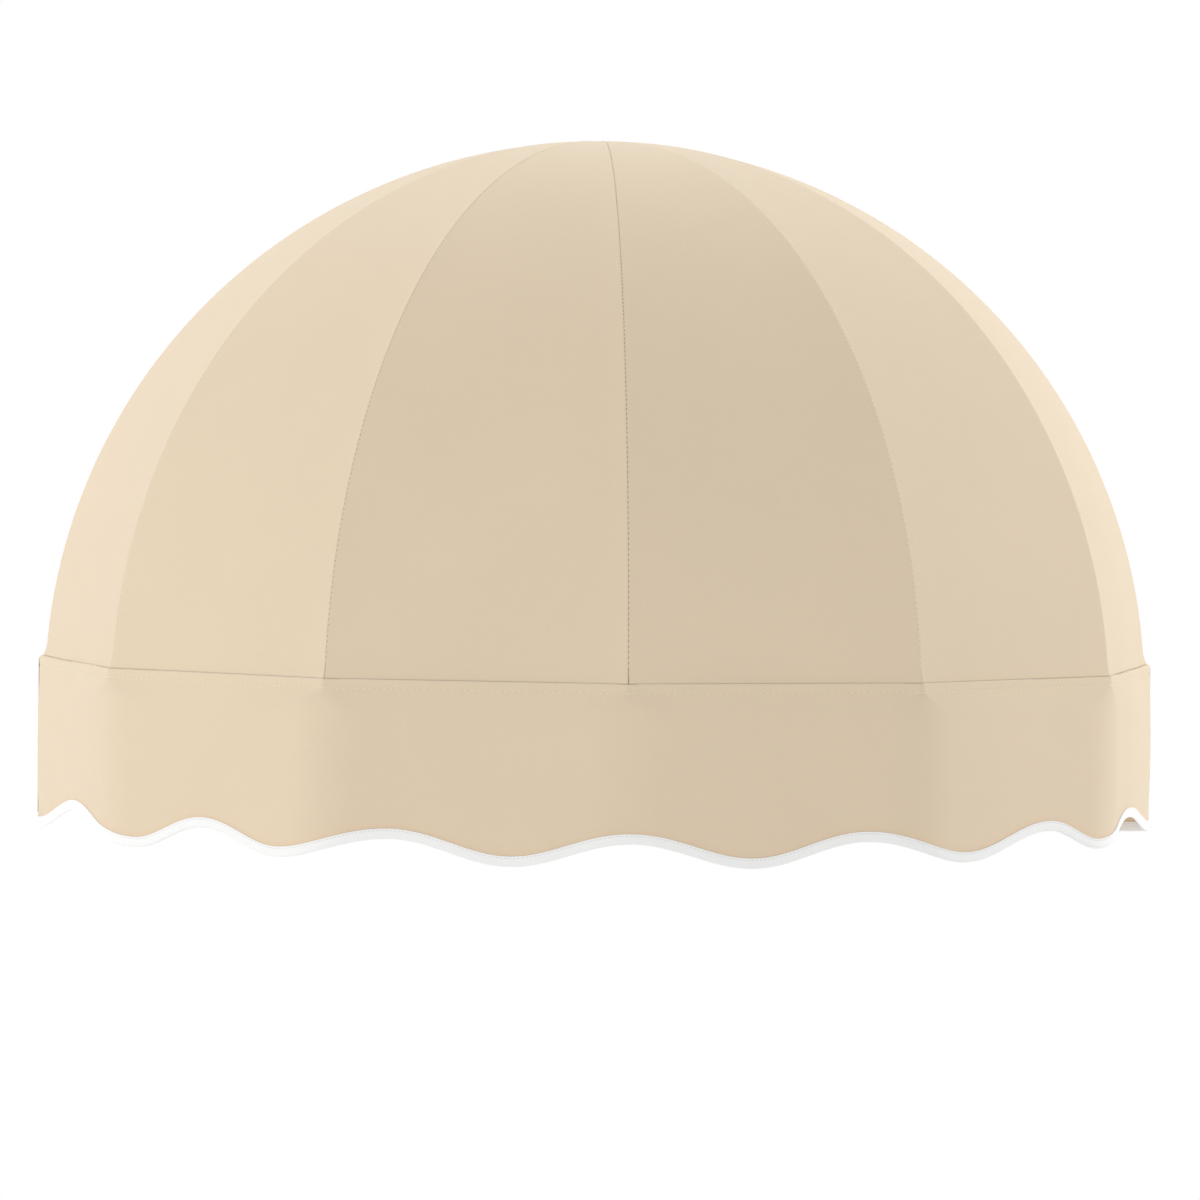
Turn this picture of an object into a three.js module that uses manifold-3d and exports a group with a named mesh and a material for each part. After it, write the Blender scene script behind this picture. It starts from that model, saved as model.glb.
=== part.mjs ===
// A fixed dome awning for a window: canvas in six panels over a rigid tube frame, with a
// hanging valance whose scalloped edge is bound in white tape. Millimetres, +Z up. The wall is
// the plane y = 0, the awning stands out towards -Y, and the origin is on the wall, at the
// middle of the crown hub's plate.
import * as THREE from "three";
import { mergeVertices } from "three/addons/utils/BufferGeometryUtils.js";
import Module from "manifold-3d";

const wasm = await Module();
wasm.setup();

// Dome and cover
const domeRadius = 495.5; // outer face of the canvas along each seam
const panelCount = 6;
const canvasThickness = 0.8;
const seamGap = 0.3; // between the edges of neighbouring panels
const tubeToCanvas = 0.7; // clearance between a tube and the canvas over it
const crownTip = 3; // how near to the crown's centre the panels come to a point
const rimHeight = 27.5; // the valance's fold above the middle of the hoop tubes

// Frame tubes
const tubeRadius = 8;
const tubeWall = 1.5;
const archSetback = 17; // wall to the middle of the arch tube
const jointReach = 14; // corner of the hoop to the end of each tube that meets there
const hubReach = 48; // crown's centre to the upper end of each rib
const pegLength = 14; // how far a peg reaches into its tube
const pegClearance = 0.5;
const pegRoot = 1.5; // how far a peg starts inside its collar, past the tube's end
const seatGap = 0.3; // between faces that meet

// Crown hub and its wall plate
const hubCollar = 6; // how far each collar stands out of the hub
const hubTop = 5; // above the middle of the arch tube
const hubFloor = 3; // thickness under the arch tube
const hubArmWidth = 20;
const hubArmHeight = 9;
const hubArmReach = 30; // from the arch tube towards the front
const hubWebWidth = 8;
const hubWebDrop = 15; // plate's middle to the foot of the web
const crownPlateWidth = 60;
const crownPlateHeight = 60;
const crownHoleSpacing = 38;

// Corner brackets
const cornerPlateWidth = 72;
const cornerPlateHeight = 40;
const cornerPlateInset = 18; // arch tube's middle to the near end of the plate
const cornerArmWidth = 17;
const cornerHoleSpacing = 22;
const footRadius = 8.5;

// Both kinds of wall plate
const plateThickness = 5;
const plateCornerRadius = 6;
const screwHole = 5.5;

// Valance
const valanceDrop = 139; // fold to the mean line of the scallops
const scallopDepth = 20; // from the top of an arch to the tip of a tongue
// Where the edge turns, from the left: the share of the way from the awning's middle to the end
// of the wall arch, and the height, 1 at the top of a full arch and -1 at the tip of a full
// tongue. The tongues are uneven, and the outer ones are the widest.
const scallopTurns = [
  [-1.08, 1], [-1.005, -1.1], [-0.8, 1.3], [-0.62, -1], [-0.512, 1.1], [-0.399, -0.87],
  [-0.259, 1], [-0.127, -1.05], [0.004, 1], [0.141, -1.1], [0.27, 1], [0.407, -1],
  [0.552, 1.15], [0.644, -0.68], [0.796, 1.3], [1.035, -1],
];
const valanceStandoff = 5; // from the panels' face to the middle of the valance's canvas
const foldStandoff = 2.4; // the same at the fold, away from the wall
const valanceBulge = 1.8; // extra standoff halfway down
const flareDrop = 28; // fold to where the valance has its full standoff
const flareEnd = 70; // length beside the wall over which the fold stands off further
const cornerBend = 120; // bend radius of the valance in front of each rib
const foldBend = 6; // bend radius of its fold in front of each rib
const rearBend = 15; // bend radius beside the arch
const wallBend = 3; // bend radius where it turns in along the wall
const valanceReturn = 20.5; // how far it then runs inwards
const valanceToPanel = 0.5;

// Binding tape
const tapeWidth = 8.7;
const tapeThickness = 0.5;
const tapeClearance = 0.3;
const cordedThickness = 1.8; // the corded strip on the valance's rear corners
const cordedTurn = 60; // degrees that it reaches around the corner

// Pockets and hem
const pocketLeg = 8; // how far a hoop pocket reaches up inside
const pocketEndGap = 18; // tube's end to the pocket's end
const hemWrap = 120; // degrees that the wall hem goes around the arch tube
const hemRise = 6; // fold of the valance to the hem's lower ends

// Fineness of the curved surfaces
const panelStep = 3; // degrees from row to row of a panel
const tubeStep = 6; // degrees along the ribs and the arch
const tubeSides = 12;
const boreSides = 8; // inside a tube, and on the pegs that fit it
const flatSteps = 9; // along each straight stretch of the valance
const bendSteps = 4; // around each bend of the valance
const foldSteps = 2; // over the valance's fold
const dropSteps = 6; // down the valance
const dropSpread = 1.5; // 1 spaces them evenly, and more draws them towards the fold
const wrapSteps = 4; // around a tube, in the hem and the pockets

const degree = Math.PI / 180;
const panelAngle = 180 / panelCount;
const halfPanel = panelAngle / 2;
const flatness = Math.cos(halfPanel * degree);
const tubeCentre = domeRadius - (tubeRadius + tubeToCanvas + canvasThickness) / flatness;
const boreFlat = (tubeRadius - tubeWall) * Math.cos(Math.PI / boreSides);
const pegRadius = boreFlat - pegClearance;
const rimRadius = Math.sqrt(domeRadius ** 2 - rimHeight ** 2);
const rimApothem = rimRadius * flatness;
const hoopApothem = tubeCentre * flatness;
const hubApothem = hubReach - hubCollar;
const crownPlateTop = tubeCentre - tubeRadius - hubFloor - seatGap;
const crownPlateMiddle = crownPlateTop - crownPlateHeight / 2;

const canvas = { color: 0xddcbb0, roughness: 0.85, metalness: 0 };
const tape = { color: 0xe8e8e6, roughness: 0.8, metalness: 0 };
const paintedSteel = { color: 0xd9d8d3, roughness: 0.45, metalness: 0.6 };
const castAluminium = { color: 0xc9c9c6, roughness: 0.5, metalness: 0.7 };

const awning = new THREE.Group();
awning.position.z = -crownPlateMiddle;

function addPart(name, geometry, look) {
  const mesh = new THREE.Mesh(geometry, new THREE.MeshStandardMaterial(look));
  mesh.name = name;
  awning.add(mesh);
  return mesh;
}

// Directions and points on the dome. An azimuth of 0 points away from the wall and 90 points
// along +X. A polar angle is counted from the crown.

function outward(azimuth) {
  return new THREE.Vector3(Math.sin(azimuth * degree), -Math.cos(azimuth * degree), 0);
}

function planPoint(azimuth, distance, height) {
  return outward(azimuth).multiplyScalar(distance).add(new THREE.Vector3(0, -archSetback, height));
}

function domePoint(azimuth, polar, radius) {
  return planPoint(azimuth, radius * Math.sin(polar * degree), radius * Math.cos(polar * degree));
}

// Joining and cutting

function toSolid(geometry) {
  const bare = geometry.clone();
  bare.deleteAttribute("normal");
  bare.deleteAttribute("uv");
  const merged = mergeVertices(bare, 1e-3);
  return new wasm.Manifold(new wasm.Mesh({
    numProp: 3,
    vertProperties: Float32Array.from(merged.attributes.position.array),
    triVerts: Uint32Array.from(merged.index.array),
  }));
}

function fromSolid(solid) {
  const mesh = solid.getMesh();
  const geometry = new THREE.BufferGeometry();
  geometry.setAttribute("position", new THREE.BufferAttribute(mesh.vertProperties, 3));
  geometry.setIndex(new THREE.BufferAttribute(mesh.triVerts, 1));
  geometry.computeVertexNormals();
  return geometry;
}

function joined(added, removed) {
  let solid = toSolid(added[0]);
  for (const geometry of added.slice(1)) {
    solid = solid.add(toSolid(geometry));
  }
  for (const geometry of removed) {
    solid = solid.subtract(toSolid(geometry));
  }
  return fromSolid(solid);
}

// Simple shapes

function rodBetween(start, end, radius, sides = tubeSides) {
  const length = start.distanceTo(end);
  const geometry = new THREE.CylinderGeometry(radius, radius, length, sides);
  const along = end.clone().sub(start).normalize();
  const turn = new THREE.Quaternion().setFromUnitVectors(new THREE.Vector3(0, 1, 0), along);
  geometry.applyQuaternion(turn);
  const middle = start.clone().add(end).multiplyScalar(0.5);
  geometry.translate(middle.x, middle.y, middle.z);
  return geometry;
}

function boxBetween(low, high) {
  const geometry = new THREE.BoxGeometry(high.x - low.x, high.y - low.y, high.z - low.z);
  geometry.translate((low.x + high.x) / 2, (low.y + high.y) / 2, (low.z + high.z) / 2);
  return geometry;
}

function pointBefore(start, end, gap) {
  const along = end.clone().sub(start).normalize();
  return end.clone().addScaledVector(along, -gap);
}

function circlePoints(radius, sides) {
  const points = [];
  for (let i = 0; i < sides; i += 1) {
    const angle = (i + 0.5) * 2 * Math.PI / sides;
    points.push(new THREE.Vector2(radius * Math.cos(angle), radius * Math.sin(angle)));
  }
  return points;
}

function tubeAlong(path, steps, outerRadius, innerRadius) {
  const section = new THREE.Shape(circlePoints(outerRadius, tubeSides));
  if (innerRadius > 0) {
    section.holes.push(new THREE.Path(circlePoints(innerRadius, boreSides)));
  }
  return new THREE.ExtrudeGeometry(section, { steps, extrudePath: path, bevelEnabled: false });
}

class Meridian extends THREE.Curve {
  constructor(azimuth, start, end, radius) {
    super();
    this.azimuth = azimuth;
    this.start = start;
    this.end = end;
    this.radius = radius;
  }

  getPoint(t, target = new THREE.Vector3()) {
    const polar = this.start + (this.end - this.start) * t;
    return target.copy(domePoint(this.azimuth, polar, this.radius));
  }
}

// A wall plate whose back lies on the wall, with two screw holes side by side.
function wallPlate(centre, width, height, holeSpacing) {
  const w = width / 2 - plateCornerRadius;
  const h = height / 2 - plateCornerRadius;
  const outline = new THREE.Shape();
  outline.absarc(w, h, plateCornerRadius, 0, Math.PI / 2);
  outline.absarc(-w, h, plateCornerRadius, Math.PI / 2, Math.PI);
  outline.absarc(-w, -h, plateCornerRadius, Math.PI, 1.5 * Math.PI);
  outline.absarc(w, -h, plateCornerRadius, 1.5 * Math.PI, 2 * Math.PI);
  outline.closePath();
  for (const side of [-1, 1]) {
    const hole = new THREE.Path();
    hole.absarc(side * holeSpacing / 2, 0, screwHole / 2, 0, 2 * Math.PI, true);
    outline.holes.push(hole);
  }
  const geometry = new THREE.ExtrudeGeometry(outline, {
    depth: plateThickness,
    bevelEnabled: false,
    curveSegments: 4,
  });
  geometry.rotateX(Math.PI / 2);
  geometry.translate(centre.x, 0, centre.z);
  return geometry;
}

// Thin sheets. Each station holds the points of the sheet's two faces, front and back, in the
// same order. The stations follow each other along the sheet.
function sheetSolid(stations) {
  const rows = stations[0].front.length;
  const positions = [];
  for (const station of stations) {
    for (const point of [...station.front, ...station.back]) {
      positions.push(point.x, point.y, point.z);
    }
  }
  const index = [];
  const front = (s, r) => s * 2 * rows + r;
  const back = (s, r) => s * 2 * rows + rows + r;
  const quad = (a, b, c, d) => index.push(a, b, c, a, c, d);
  const last = stations.length - 1;
  for (let s = 0; s < last; s += 1) {
    for (let r = 0; r < rows - 1; r += 1) {
      quad(front(s, r), front(s, r + 1), front(s + 1, r + 1), front(s + 1, r));
      quad(back(s, r), back(s + 1, r), back(s + 1, r + 1), back(s, r + 1));
    }
    quad(front(s, 0), front(s + 1, 0), back(s + 1, 0), back(s, 0));
    quad(front(s, rows - 1), back(s, rows - 1), back(s + 1, rows - 1), front(s + 1, rows - 1));
  }
  for (let r = 0; r < rows - 1; r += 1) {
    quad(front(0, r), back(0, r), back(0, r + 1), front(0, r + 1));
    quad(front(last, r), front(last, r + 1), back(last, r + 1), back(last, r));
  }
  const geometry = new THREE.BufferGeometry();
  geometry.setAttribute("position", new THREE.Float32BufferAttribute(positions, 3));
  geometry.setIndex(index);
  geometry.computeVertexNormals();
  return geometry;
}

// Canvas panels: flat from seam to seam and curved from the crown to the rim.

function panelGeometry(middle) {
  const stations = [];
  const startPolar = Math.asin(crownTip / domeRadius) / degree;
  const endPolar = Math.acos(rimHeight / domeRadius) / degree;
  const steps = Math.ceil((endPolar - startPolar) / panelStep);
  const tangent = Math.tan(halfPanel * degree);
  const edge = seamGap / 2 / flatness;
  const across = outward(middle + 90);
  for (let i = 0; i <= steps; i += 1) {
    const polar = (startPolar + (endPolar - startPolar) * i / steps) * degree;
    const distance = domeRadius * Math.sin(polar) * flatness;
    const height = domeRadius * Math.cos(polar);
    const slope = Math.hypot(Math.sin(polar), Math.cos(polar) * flatness);
    const inDistance = distance - canvasThickness * Math.sin(polar) / slope;
    const inHeight = height - canvasThickness * Math.cos(polar) * flatness / slope;
    const face = (d, z) => [1, -1].map((side) => planPoint(middle, d, z)
      .addScaledVector(across, side * (d * tangent - edge)));
    const lowHeight = i === steps ? height : inHeight;
    stations.push({ front: face(distance, height), back: face(inDistance, lowHeight) });
  }
  return sheetSolid(stations);
}

for (let i = 0; i < panelCount; i += 1) {
  addPart(`gore_${i + 1}`, panelGeometry(-90 + halfPanel + panelAngle * i), canvas);
}

// Frame: ribs, arch and hoop

const footPolar = Math.acos(jointReach / tubeCentre) / degree;
const hubPolar = Math.asin(hubReach / tubeCentre) / degree;
const pegAngle = pegLength / tubeCentre / degree;
const boreRadius = tubeRadius - tubeWall;

const ribAzimuths = [];
for (let i = 1; i < panelCount; i += 1) {
  ribAzimuths.push(-90 + panelAngle * i);
}

const ribSteps = Math.ceil((footPolar - hubPolar) / tubeStep);
ribAzimuths.forEach((azimuth, i) => {
  const path = new Meridian(azimuth, hubPolar, footPolar, tubeCentre);
  addPart(`rib_${i + 1}`, tubeAlong(path, ribSteps, tubeRadius, boreRadius), paintedSteel);
});

const archPath = new Meridian(90, -footPolar, footPolar, tubeCentre);
const archSteps = Math.ceil(2 * footPolar / tubeStep);
addPart("wall_arch", tubeAlong(archPath, archSteps, tubeRadius, boreRadius), paintedSteel);

for (let i = 0; i < panelCount; i += 1) {
  const start = planPoint(-90 + panelAngle * i, tubeCentre, 0);
  const end = planPoint(-90 + panelAngle * (i + 1), tubeCentre, 0);
  const path = new THREE.LineCurve3(
    pointBefore(end, start, jointReach),
    pointBefore(start, end, jointReach),
  );
  addPart(`hoop_tube_${i + 1}`, tubeAlong(path, 1, tubeRadius, boreRadius), paintedSteel);
}

// A collar with a peg that reaches into the tube that starts at one point and leads to another.
function collarAndPeg(centre, tubeStart, tubeAhead) {
  return [
    rodBetween(centre, pointBefore(centre, tubeStart, seatGap), tubeRadius),
    rodBetween(pointBefore(tubeAhead, tubeStart, -pegRoot), tubeAhead, pegRadius, boreSides),
  ];
}

// Pegs and collars from a corner of the hoop to the hoop tubes, and up to a rib or the arch.
function cornerSockets(azimuth, neighbours) {
  const centre = planPoint(azimuth, tubeCentre, 0);
  const pieces = [];
  for (const neighbour of neighbours) {
    const far = planPoint(neighbour, tubeCentre, 0);
    const start = pointBefore(far, centre, jointReach);
    const ahead = pointBefore(far, centre, jointReach + pegLength);
    pieces.push(...collarAndPeg(centre, start, ahead));
  }
  const foot = domePoint(azimuth, footPolar, tubeCentre);
  const above = domePoint(azimuth, footPolar - pegAngle, tubeCentre);
  pieces.push(...collarAndPeg(centre, foot, above));
  return pieces;
}

ribAzimuths.forEach((azimuth, i) => {
  const low = planPoint(azimuth, tubeCentre, -footRadius);
  const high = planPoint(azimuth, tubeCentre, footRadius);
  const body = rodBetween(low, high, footRadius);
  const sockets = cornerSockets(azimuth, [azimuth - panelAngle, azimuth + panelAngle]);
  addPart(`rib_foot_${i + 1}`, joined([body, ...sockets], []), castAluminium);
});

for (const [name, side] of [["corner_bracket_left", -1], ["corner_bracket_right", 1]]) {
  const near = side * (tubeCentre - cornerPlateInset);
  const inner = near - side * cornerArmWidth;
  const plate = wallPlate(
    new THREE.Vector3(near - side * cornerPlateWidth / 2, 0, 0),
    cornerPlateWidth,
    cornerPlateHeight,
    cornerHoleSpacing,
  );
  const centre = side * tubeCentre;
  const arm = boxBetween(
    new THREE.Vector3(Math.min(inner, centre), -archSetback - tubeRadius, -tubeRadius),
    new THREE.Vector3(Math.max(inner, centre), -archSetback + tubeRadius, tubeRadius),
  );
  const leg = boxBetween(
    new THREE.Vector3(Math.min(inner, near), -archSetback, -tubeRadius),
    new THREE.Vector3(Math.max(inner, near), -plateThickness / 2, tubeRadius),
  );
  const body = rodBetween(
    planPoint(side * 90, tubeCentre, -footRadius),
    planPoint(side * 90, tubeCentre, footRadius),
    footRadius,
  );
  const sockets = cornerSockets(side * 90, [side * (90 - panelAngle)]);
  addPart(name, joined([body, arm, leg, plate, ...sockets], []), castAluminium);
}

// Crown hub: a half disc under the arch with a peg for each rib, an arm to the wall plate and a
// web that stiffens it.

function hubDisc() {
  const outline = [new THREE.Vector2(-hubApothem, 0)];
  for (let i = 0; i < panelCount; i += 1) {
    const azimuth = (-90 + halfPanel + panelAngle * i) * degree;
    const corner = hubApothem / flatness;
    outline.push(new THREE.Vector2(corner * Math.sin(azimuth), -corner * Math.cos(azimuth)));
  }
  outline.push(new THREE.Vector2(hubApothem, 0));
  const depth = tubeRadius + hubFloor + hubTop;
  const disc = new THREE.ExtrudeGeometry(new THREE.Shape(outline), { depth, bevelEnabled: false });
  disc.translate(0, -archSetback, tubeCentre + hubTop - depth);
  return disc;
}

function hubWeb() {
  const top = tubeCentre - tubeRadius - hubFloor / 2;
  const outline = new THREE.Shape([
    new THREE.Vector2(-plateThickness / 2, top),
    new THREE.Vector2(-archSetback - hubArmReach, top),
    new THREE.Vector2(-archSetback - hubArmReach, top - hubArmHeight),
    new THREE.Vector2(-plateThickness / 2, crownPlateMiddle - hubWebDrop),
  ]);
  const web = new THREE.ExtrudeGeometry(outline, { depth: hubWebWidth, bevelEnabled: false });
  web.applyMatrix4(new THREE.Matrix4().set(
    0, 0, 1, -hubWebWidth / 2,
    1, 0, 0, 0,
    0, 1, 0, 0,
    0, 0, 0, 1,
  ));
  return web;
}

const hubArm = boxBetween(
  new THREE.Vector3(-hubArmWidth / 2, -archSetback - hubArmReach, crownPlateTop - hubArmHeight),
  new THREE.Vector3(hubArmWidth / 2, -plateThickness / 2, tubeCentre - tubeRadius - hubFloor / 2),
);
const hubPlate = wallPlate(
  new THREE.Vector3(0, 0, crownPlateMiddle),
  crownPlateWidth,
  crownPlateHeight,
  crownHoleSpacing,
);
const hubPegs = ribAzimuths.flatMap((azimuth) => collarAndPeg(
  domePoint(azimuth, hubPolar / 2, tubeCentre),
  domePoint(azimuth, hubPolar, tubeCentre),
  domePoint(azimuth, hubPolar + pegAngle, tubeCentre),
));
const archSpace = tubeAlong(archPath, archSteps, tubeRadius + seatGap, 0);
addPart(
  "crown_hub",
  joined([hubDisc(), hubArm, hubWeb(), hubPlate, ...hubPegs], [archSpace]),
  castAluminium,
);

// Wall hem: the rear edge of the cover, wrapped over the back of the arch tube.

function hemGeometry() {
  const middleRadius = domeRadius - tubeCentre - canvasThickness / 2;
  const start = seamGap / 2 / middleRadius / degree;
  const end = Math.acos((rimHeight + hemRise) / domeRadius) / degree;
  const steps = Math.ceil(2 * end / tubeStep);
  const stations = [];
  for (let i = 0; i <= steps; i += 1) {
    const polar = end - 2 * end * i / steps;
    const face = (radius) => {
      const points = [];
      for (let j = 0; j <= wrapSteps; j += 1) {
        const turn = (start + (hemWrap - start) * j / wrapSteps) * degree;
        const point = domePoint(90, polar, tubeCentre + radius * Math.cos(turn));
        point.y += radius * Math.sin(turn);
        points.push(point);
      }
      return points;
    };
    stations.push({
      front: face(middleRadius + canvasThickness / 2),
      back: face(middleRadius - canvasThickness / 2),
    });
  }
  return sheetSolid(stations);
}
addPart("wall_hem", hemGeometry(), canvas);

// Hoop pockets: each hangs from a panel's lower edge and passes under its hoop tube.

function pocketGeometry(middle) {
  const around = tubeRadius + tubeToCanvas;
  const faceLine = (radius, legOffset) => {
    const points = [new THREE.Vector2(rimApothem - hoopApothem - legOffset, rimHeight - seamGap)];
    for (let i = 0; i <= 2 * wrapSteps; i += 1) {
      const turn = Math.PI * i / (2 * wrapSteps);
      points.push(new THREE.Vector2(radius * Math.cos(turn), -radius * Math.sin(turn)));
    }
    points.push(new THREE.Vector2(-radius, pocketLeg));
    return points;
  };
  const half = tubeCentre * Math.sin(halfPanel * degree) - jointReach - pocketEndGap;
  const across = outward(middle + 90);
  const stations = [-half, half].map((shift) => {
    const place = (line) => line.map((point) => planPoint(middle, hoopApothem + point.x, point.y)
      .addScaledVector(across, shift));
    return {
      front: place(faceLine(around + canvasThickness, 0)),
      back: place(faceLine(around, canvasThickness)),
    };
  });
  return sheetSolid(stations);
}

for (let i = 0; i < panelCount; i += 1) {
  addPart(`hoop_pocket_${i + 1}`, pocketGeometry(-90 + halfPanel + panelAngle * i), canvas);
}

// Valance. Seen from above it runs along the rim's straight sides with a soft bend in front of
// each rib, then back beside the arch and inwards along the wall. Its columns are the same at
// every height. A column gives its place for any offset from the panels and any bend radius.

function bendPoint(azimuth, turn, offset, bend) {
  const centre = (rimApothem + offset - bend) / flatness;
  return planPoint(azimuth, centre, 0).addScaledVector(outward(azimuth + turn), bend);
}

// The last stretch on each side: back to the wall, a bend, and inwards.
const hemBack = domeRadius - tubeCentre;

function wallBendPoint(side, turn, offset) {
  const radius = wallBend + offset;
  const centre = new THREE.Vector3(side * (domeRadius - wallBend), hemBack - wallBend - archSetback, 0);
  return centre.addScaledVector(outward(side * (90 + turn)), radius);
}

function wallRunPoint(side, share, offset) {
  const end = wallBendPoint(side, 90, offset);
  end.x -= side * share * valanceReturn;
  return end;
}

function valanceColumns() {
  const columns = [];
  const rear = (side) => {
    const list = [{ wall: 1, at: (o) => wallRunPoint(side, 1, o) }];
    for (let i = bendSteps; i >= 0; i -= 1) {
      list.push({ wall: 1, at: (o) => wallBendPoint(side, 90 * i / bendSteps, o) });
    }
    return list;
  };
  columns.push(...rear(-1));
  for (let k = 0; k <= panelCount; k += 1) {
    const azimuth = -90 + panelAngle * k;
    const isEnd = k === 0 || k === panelCount;
    const from = k === 0 ? 0 : -halfPanel;
    const to = k === panelCount ? 0 : halfPanel;
    for (let i = 0; i <= bendSteps; i += 1) {
      const turn = from + (to - from) * i / bendSteps;
      const limit = isEnd ? rearBend : cornerBend;
      columns.push({
        wall: 0,
        at: (o, bend) => bendPoint(azimuth, turn, o, Math.min(bend, limit)),
      });
    }
    if (k < panelCount) {
      const nextLimit = k + 1 === panelCount ? rearBend : cornerBend;
      const startLimit = isEnd ? rearBend : cornerBend;
      for (let i = 1; i < flatSteps; i += 1) {
        const share = i / flatSteps;
        columns.push({
          wall: 0,
          at: (o, bend) => bendPoint(azimuth, halfPanel, o, Math.min(bend, startLimit))
            .lerp(bendPoint(azimuth + panelAngle, -halfPanel, o, Math.min(bend, nextLimit)), share),
        });
      }
    }
  }
  columns.push(...rear(1).reverse());
  return columns;
}

const columns = valanceColumns();
const firstFront = columns.findIndex((column) => column.wall === 0);
const lastFront = columns.length - 1 - firstFront;

// The column where the valance starts to turn in along the wall.
function bendColumn(side) {
  return side === 1 ? lastFront + 1 : firstFront - 1;
}

// Distance along the valance from the middle of the awning, for the scallops.
function columnDistances() {
  const points = columns.map((column) => column.at(valanceStandoff, cornerBend));
  const sums = [0];
  for (let i = 1; i < points.length; i += 1) {
    sums.push(sums[i - 1] + points[i].distanceTo(points[i - 1]));
  }
  const middle = sums[sums.length - 1] / 2;
  return sums.map((sum) => sum - middle);
}

const distances = columnDistances();
const archDistance = distances[lastFront];

function edgeHeight(distance) {
  const share = distance / archDistance;
  let next = 1;
  while (next < scallopTurns.length - 1 && share > scallopTurns[next][0]) {
    next += 1;
  }
  const [start, startRise] = scallopTurns[next - 1];
  const [end, endRise] = scallopTurns[next];
  const way = (1 - Math.cos(Math.PI * (share - start) / (end - start))) / 2;
  return rimHeight - valanceDrop + (startRise + (endRise - startRise) * way) * scallopDepth / 2;
}

function edgeSlope(distance) {
  const rise = edgeHeight(distance + 1) - edgeHeight(distance - 1);
  return Math.atan2(rise, 2);
}

function eased(share) {
  const inside = Math.min(1, Math.max(0, share));
  return inside * inside * (3 - 2 * inside);
}

// How far the flare has opened at a height: nothing at the fold, and all of it below.
function flare(height) {
  return eased((rimHeight - height) / flareDrop);
}

// Offset of the valance's middle surface at its fold. It grows towards the wall.
function foldOffset(distance) {
  const near = eased(1 - (archDistance - Math.abs(distance)) / flareEnd);
  return foldStandoff + (valanceStandoff - foldStandoff) * near;
}

// Offset of the valance's middle surface at a height.
function sheetOffset(column, distance, height, lowest) {
  const share = (rimHeight - height) / (rimHeight - lowest);
  const bulge = column.wall === 1 ? 0 : valanceBulge * Math.sin(Math.PI * share);
  const top = foldOffset(distance);
  return top + (valanceStandoff - top) * flare(height) + bulge;
}

const half = canvasThickness / 2;
const foldStart = valanceToPanel + half;

function placed(column, offset, height) {
  const point = column.at(offset, foldBend + (cornerBend - foldBend) * flare(height));
  point.z = height;
  return point;
}

function valanceStation(column, distance) {
  const lowest = edgeHeight(distance);
  const radius = (foldOffset(distance) - foldStart) / 2;
  const front = [];
  const back = [];
  for (let i = 0; i <= foldSteps; i += 1) {
    const turn = Math.PI * (1 - i / (foldSteps + 1));
    for (const [list, r] of [[front, radius + half], [back, radius - half]]) {
      const offset = foldStart + radius + r * Math.cos(turn);
      list.push(placed(column, offset, rimHeight + r * Math.sin(turn)));
    }
  }
  for (let i = 0; i <= dropSteps; i += 1) {
    const height = rimHeight + (lowest - rimHeight) * (i / dropSteps) ** dropSpread;
    const offset = sheetOffset(column, distance, height, lowest);
    front.push(placed(column, offset + half, height));
    back.push(placed(column, offset - half, height));
  }
  return { front, back };
}

addPart(
  "valance",
  sheetSolid(columns.map((column, i) => valanceStation(column, distances[i]))),
  canvas,
);

// Binding: a tape folded over the scalloped edge, and one over each rear end.

const tapeInner = half + tapeClearance;
const tapeOuter = tapeInner + tapeThickness;

function bindingStretch(distance) {
  return 1 / Math.cos(edgeSlope(distance));
}

// Height over the binding at which another piece may start.
function aboveBinding(distance) {
  return edgeHeight(distance) + tapeWidth * bindingStretch(distance);
}

function bindingStation(column, distance) {
  const lowest = edgeHeight(distance);
  const stretch = bindingStretch(distance);
  const top = aboveBinding(distance) - tapeClearance - tapeThickness;
  const face = (reach, under) => {
    const bottom = lowest - under * stretch;
    return [[1, top], [1, bottom], [-1, bottom], [-1, top]].map(([side, height]) => {
      const onCloth = sheetOffset(column, distance, Math.max(height, lowest), lowest);
      return placed(column, onCloth + side * reach, height);
    });
  };
  return {
    front: face(tapeOuter, tapeClearance + tapeThickness),
    back: face(tapeInner, tapeClearance),
  };
}

addPart(
  "valance_binding",
  sheetSolid(columns.map((column, i) => bindingStation(column, distances[i]))),
  tape,
);

// A strip that stands upright, from the binding to the fold. Its faces are given from the end
// nearer the middle of the awning on the right side, and mirrored on the left.
function uprightStrip(side, bottom, faceAt) {
  const heights = [bottom, rimHeight - seamGap];
  if (side === -1) {
    heights.reverse();
  }
  const raised = (points, height) => points.map((point) => point.clone().setZ(height));
  return sheetSolid(heights.map((height) => ({
    front: raised(faceAt.front, height),
    back: raised(faceAt.back, height),
  })));
}

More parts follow.
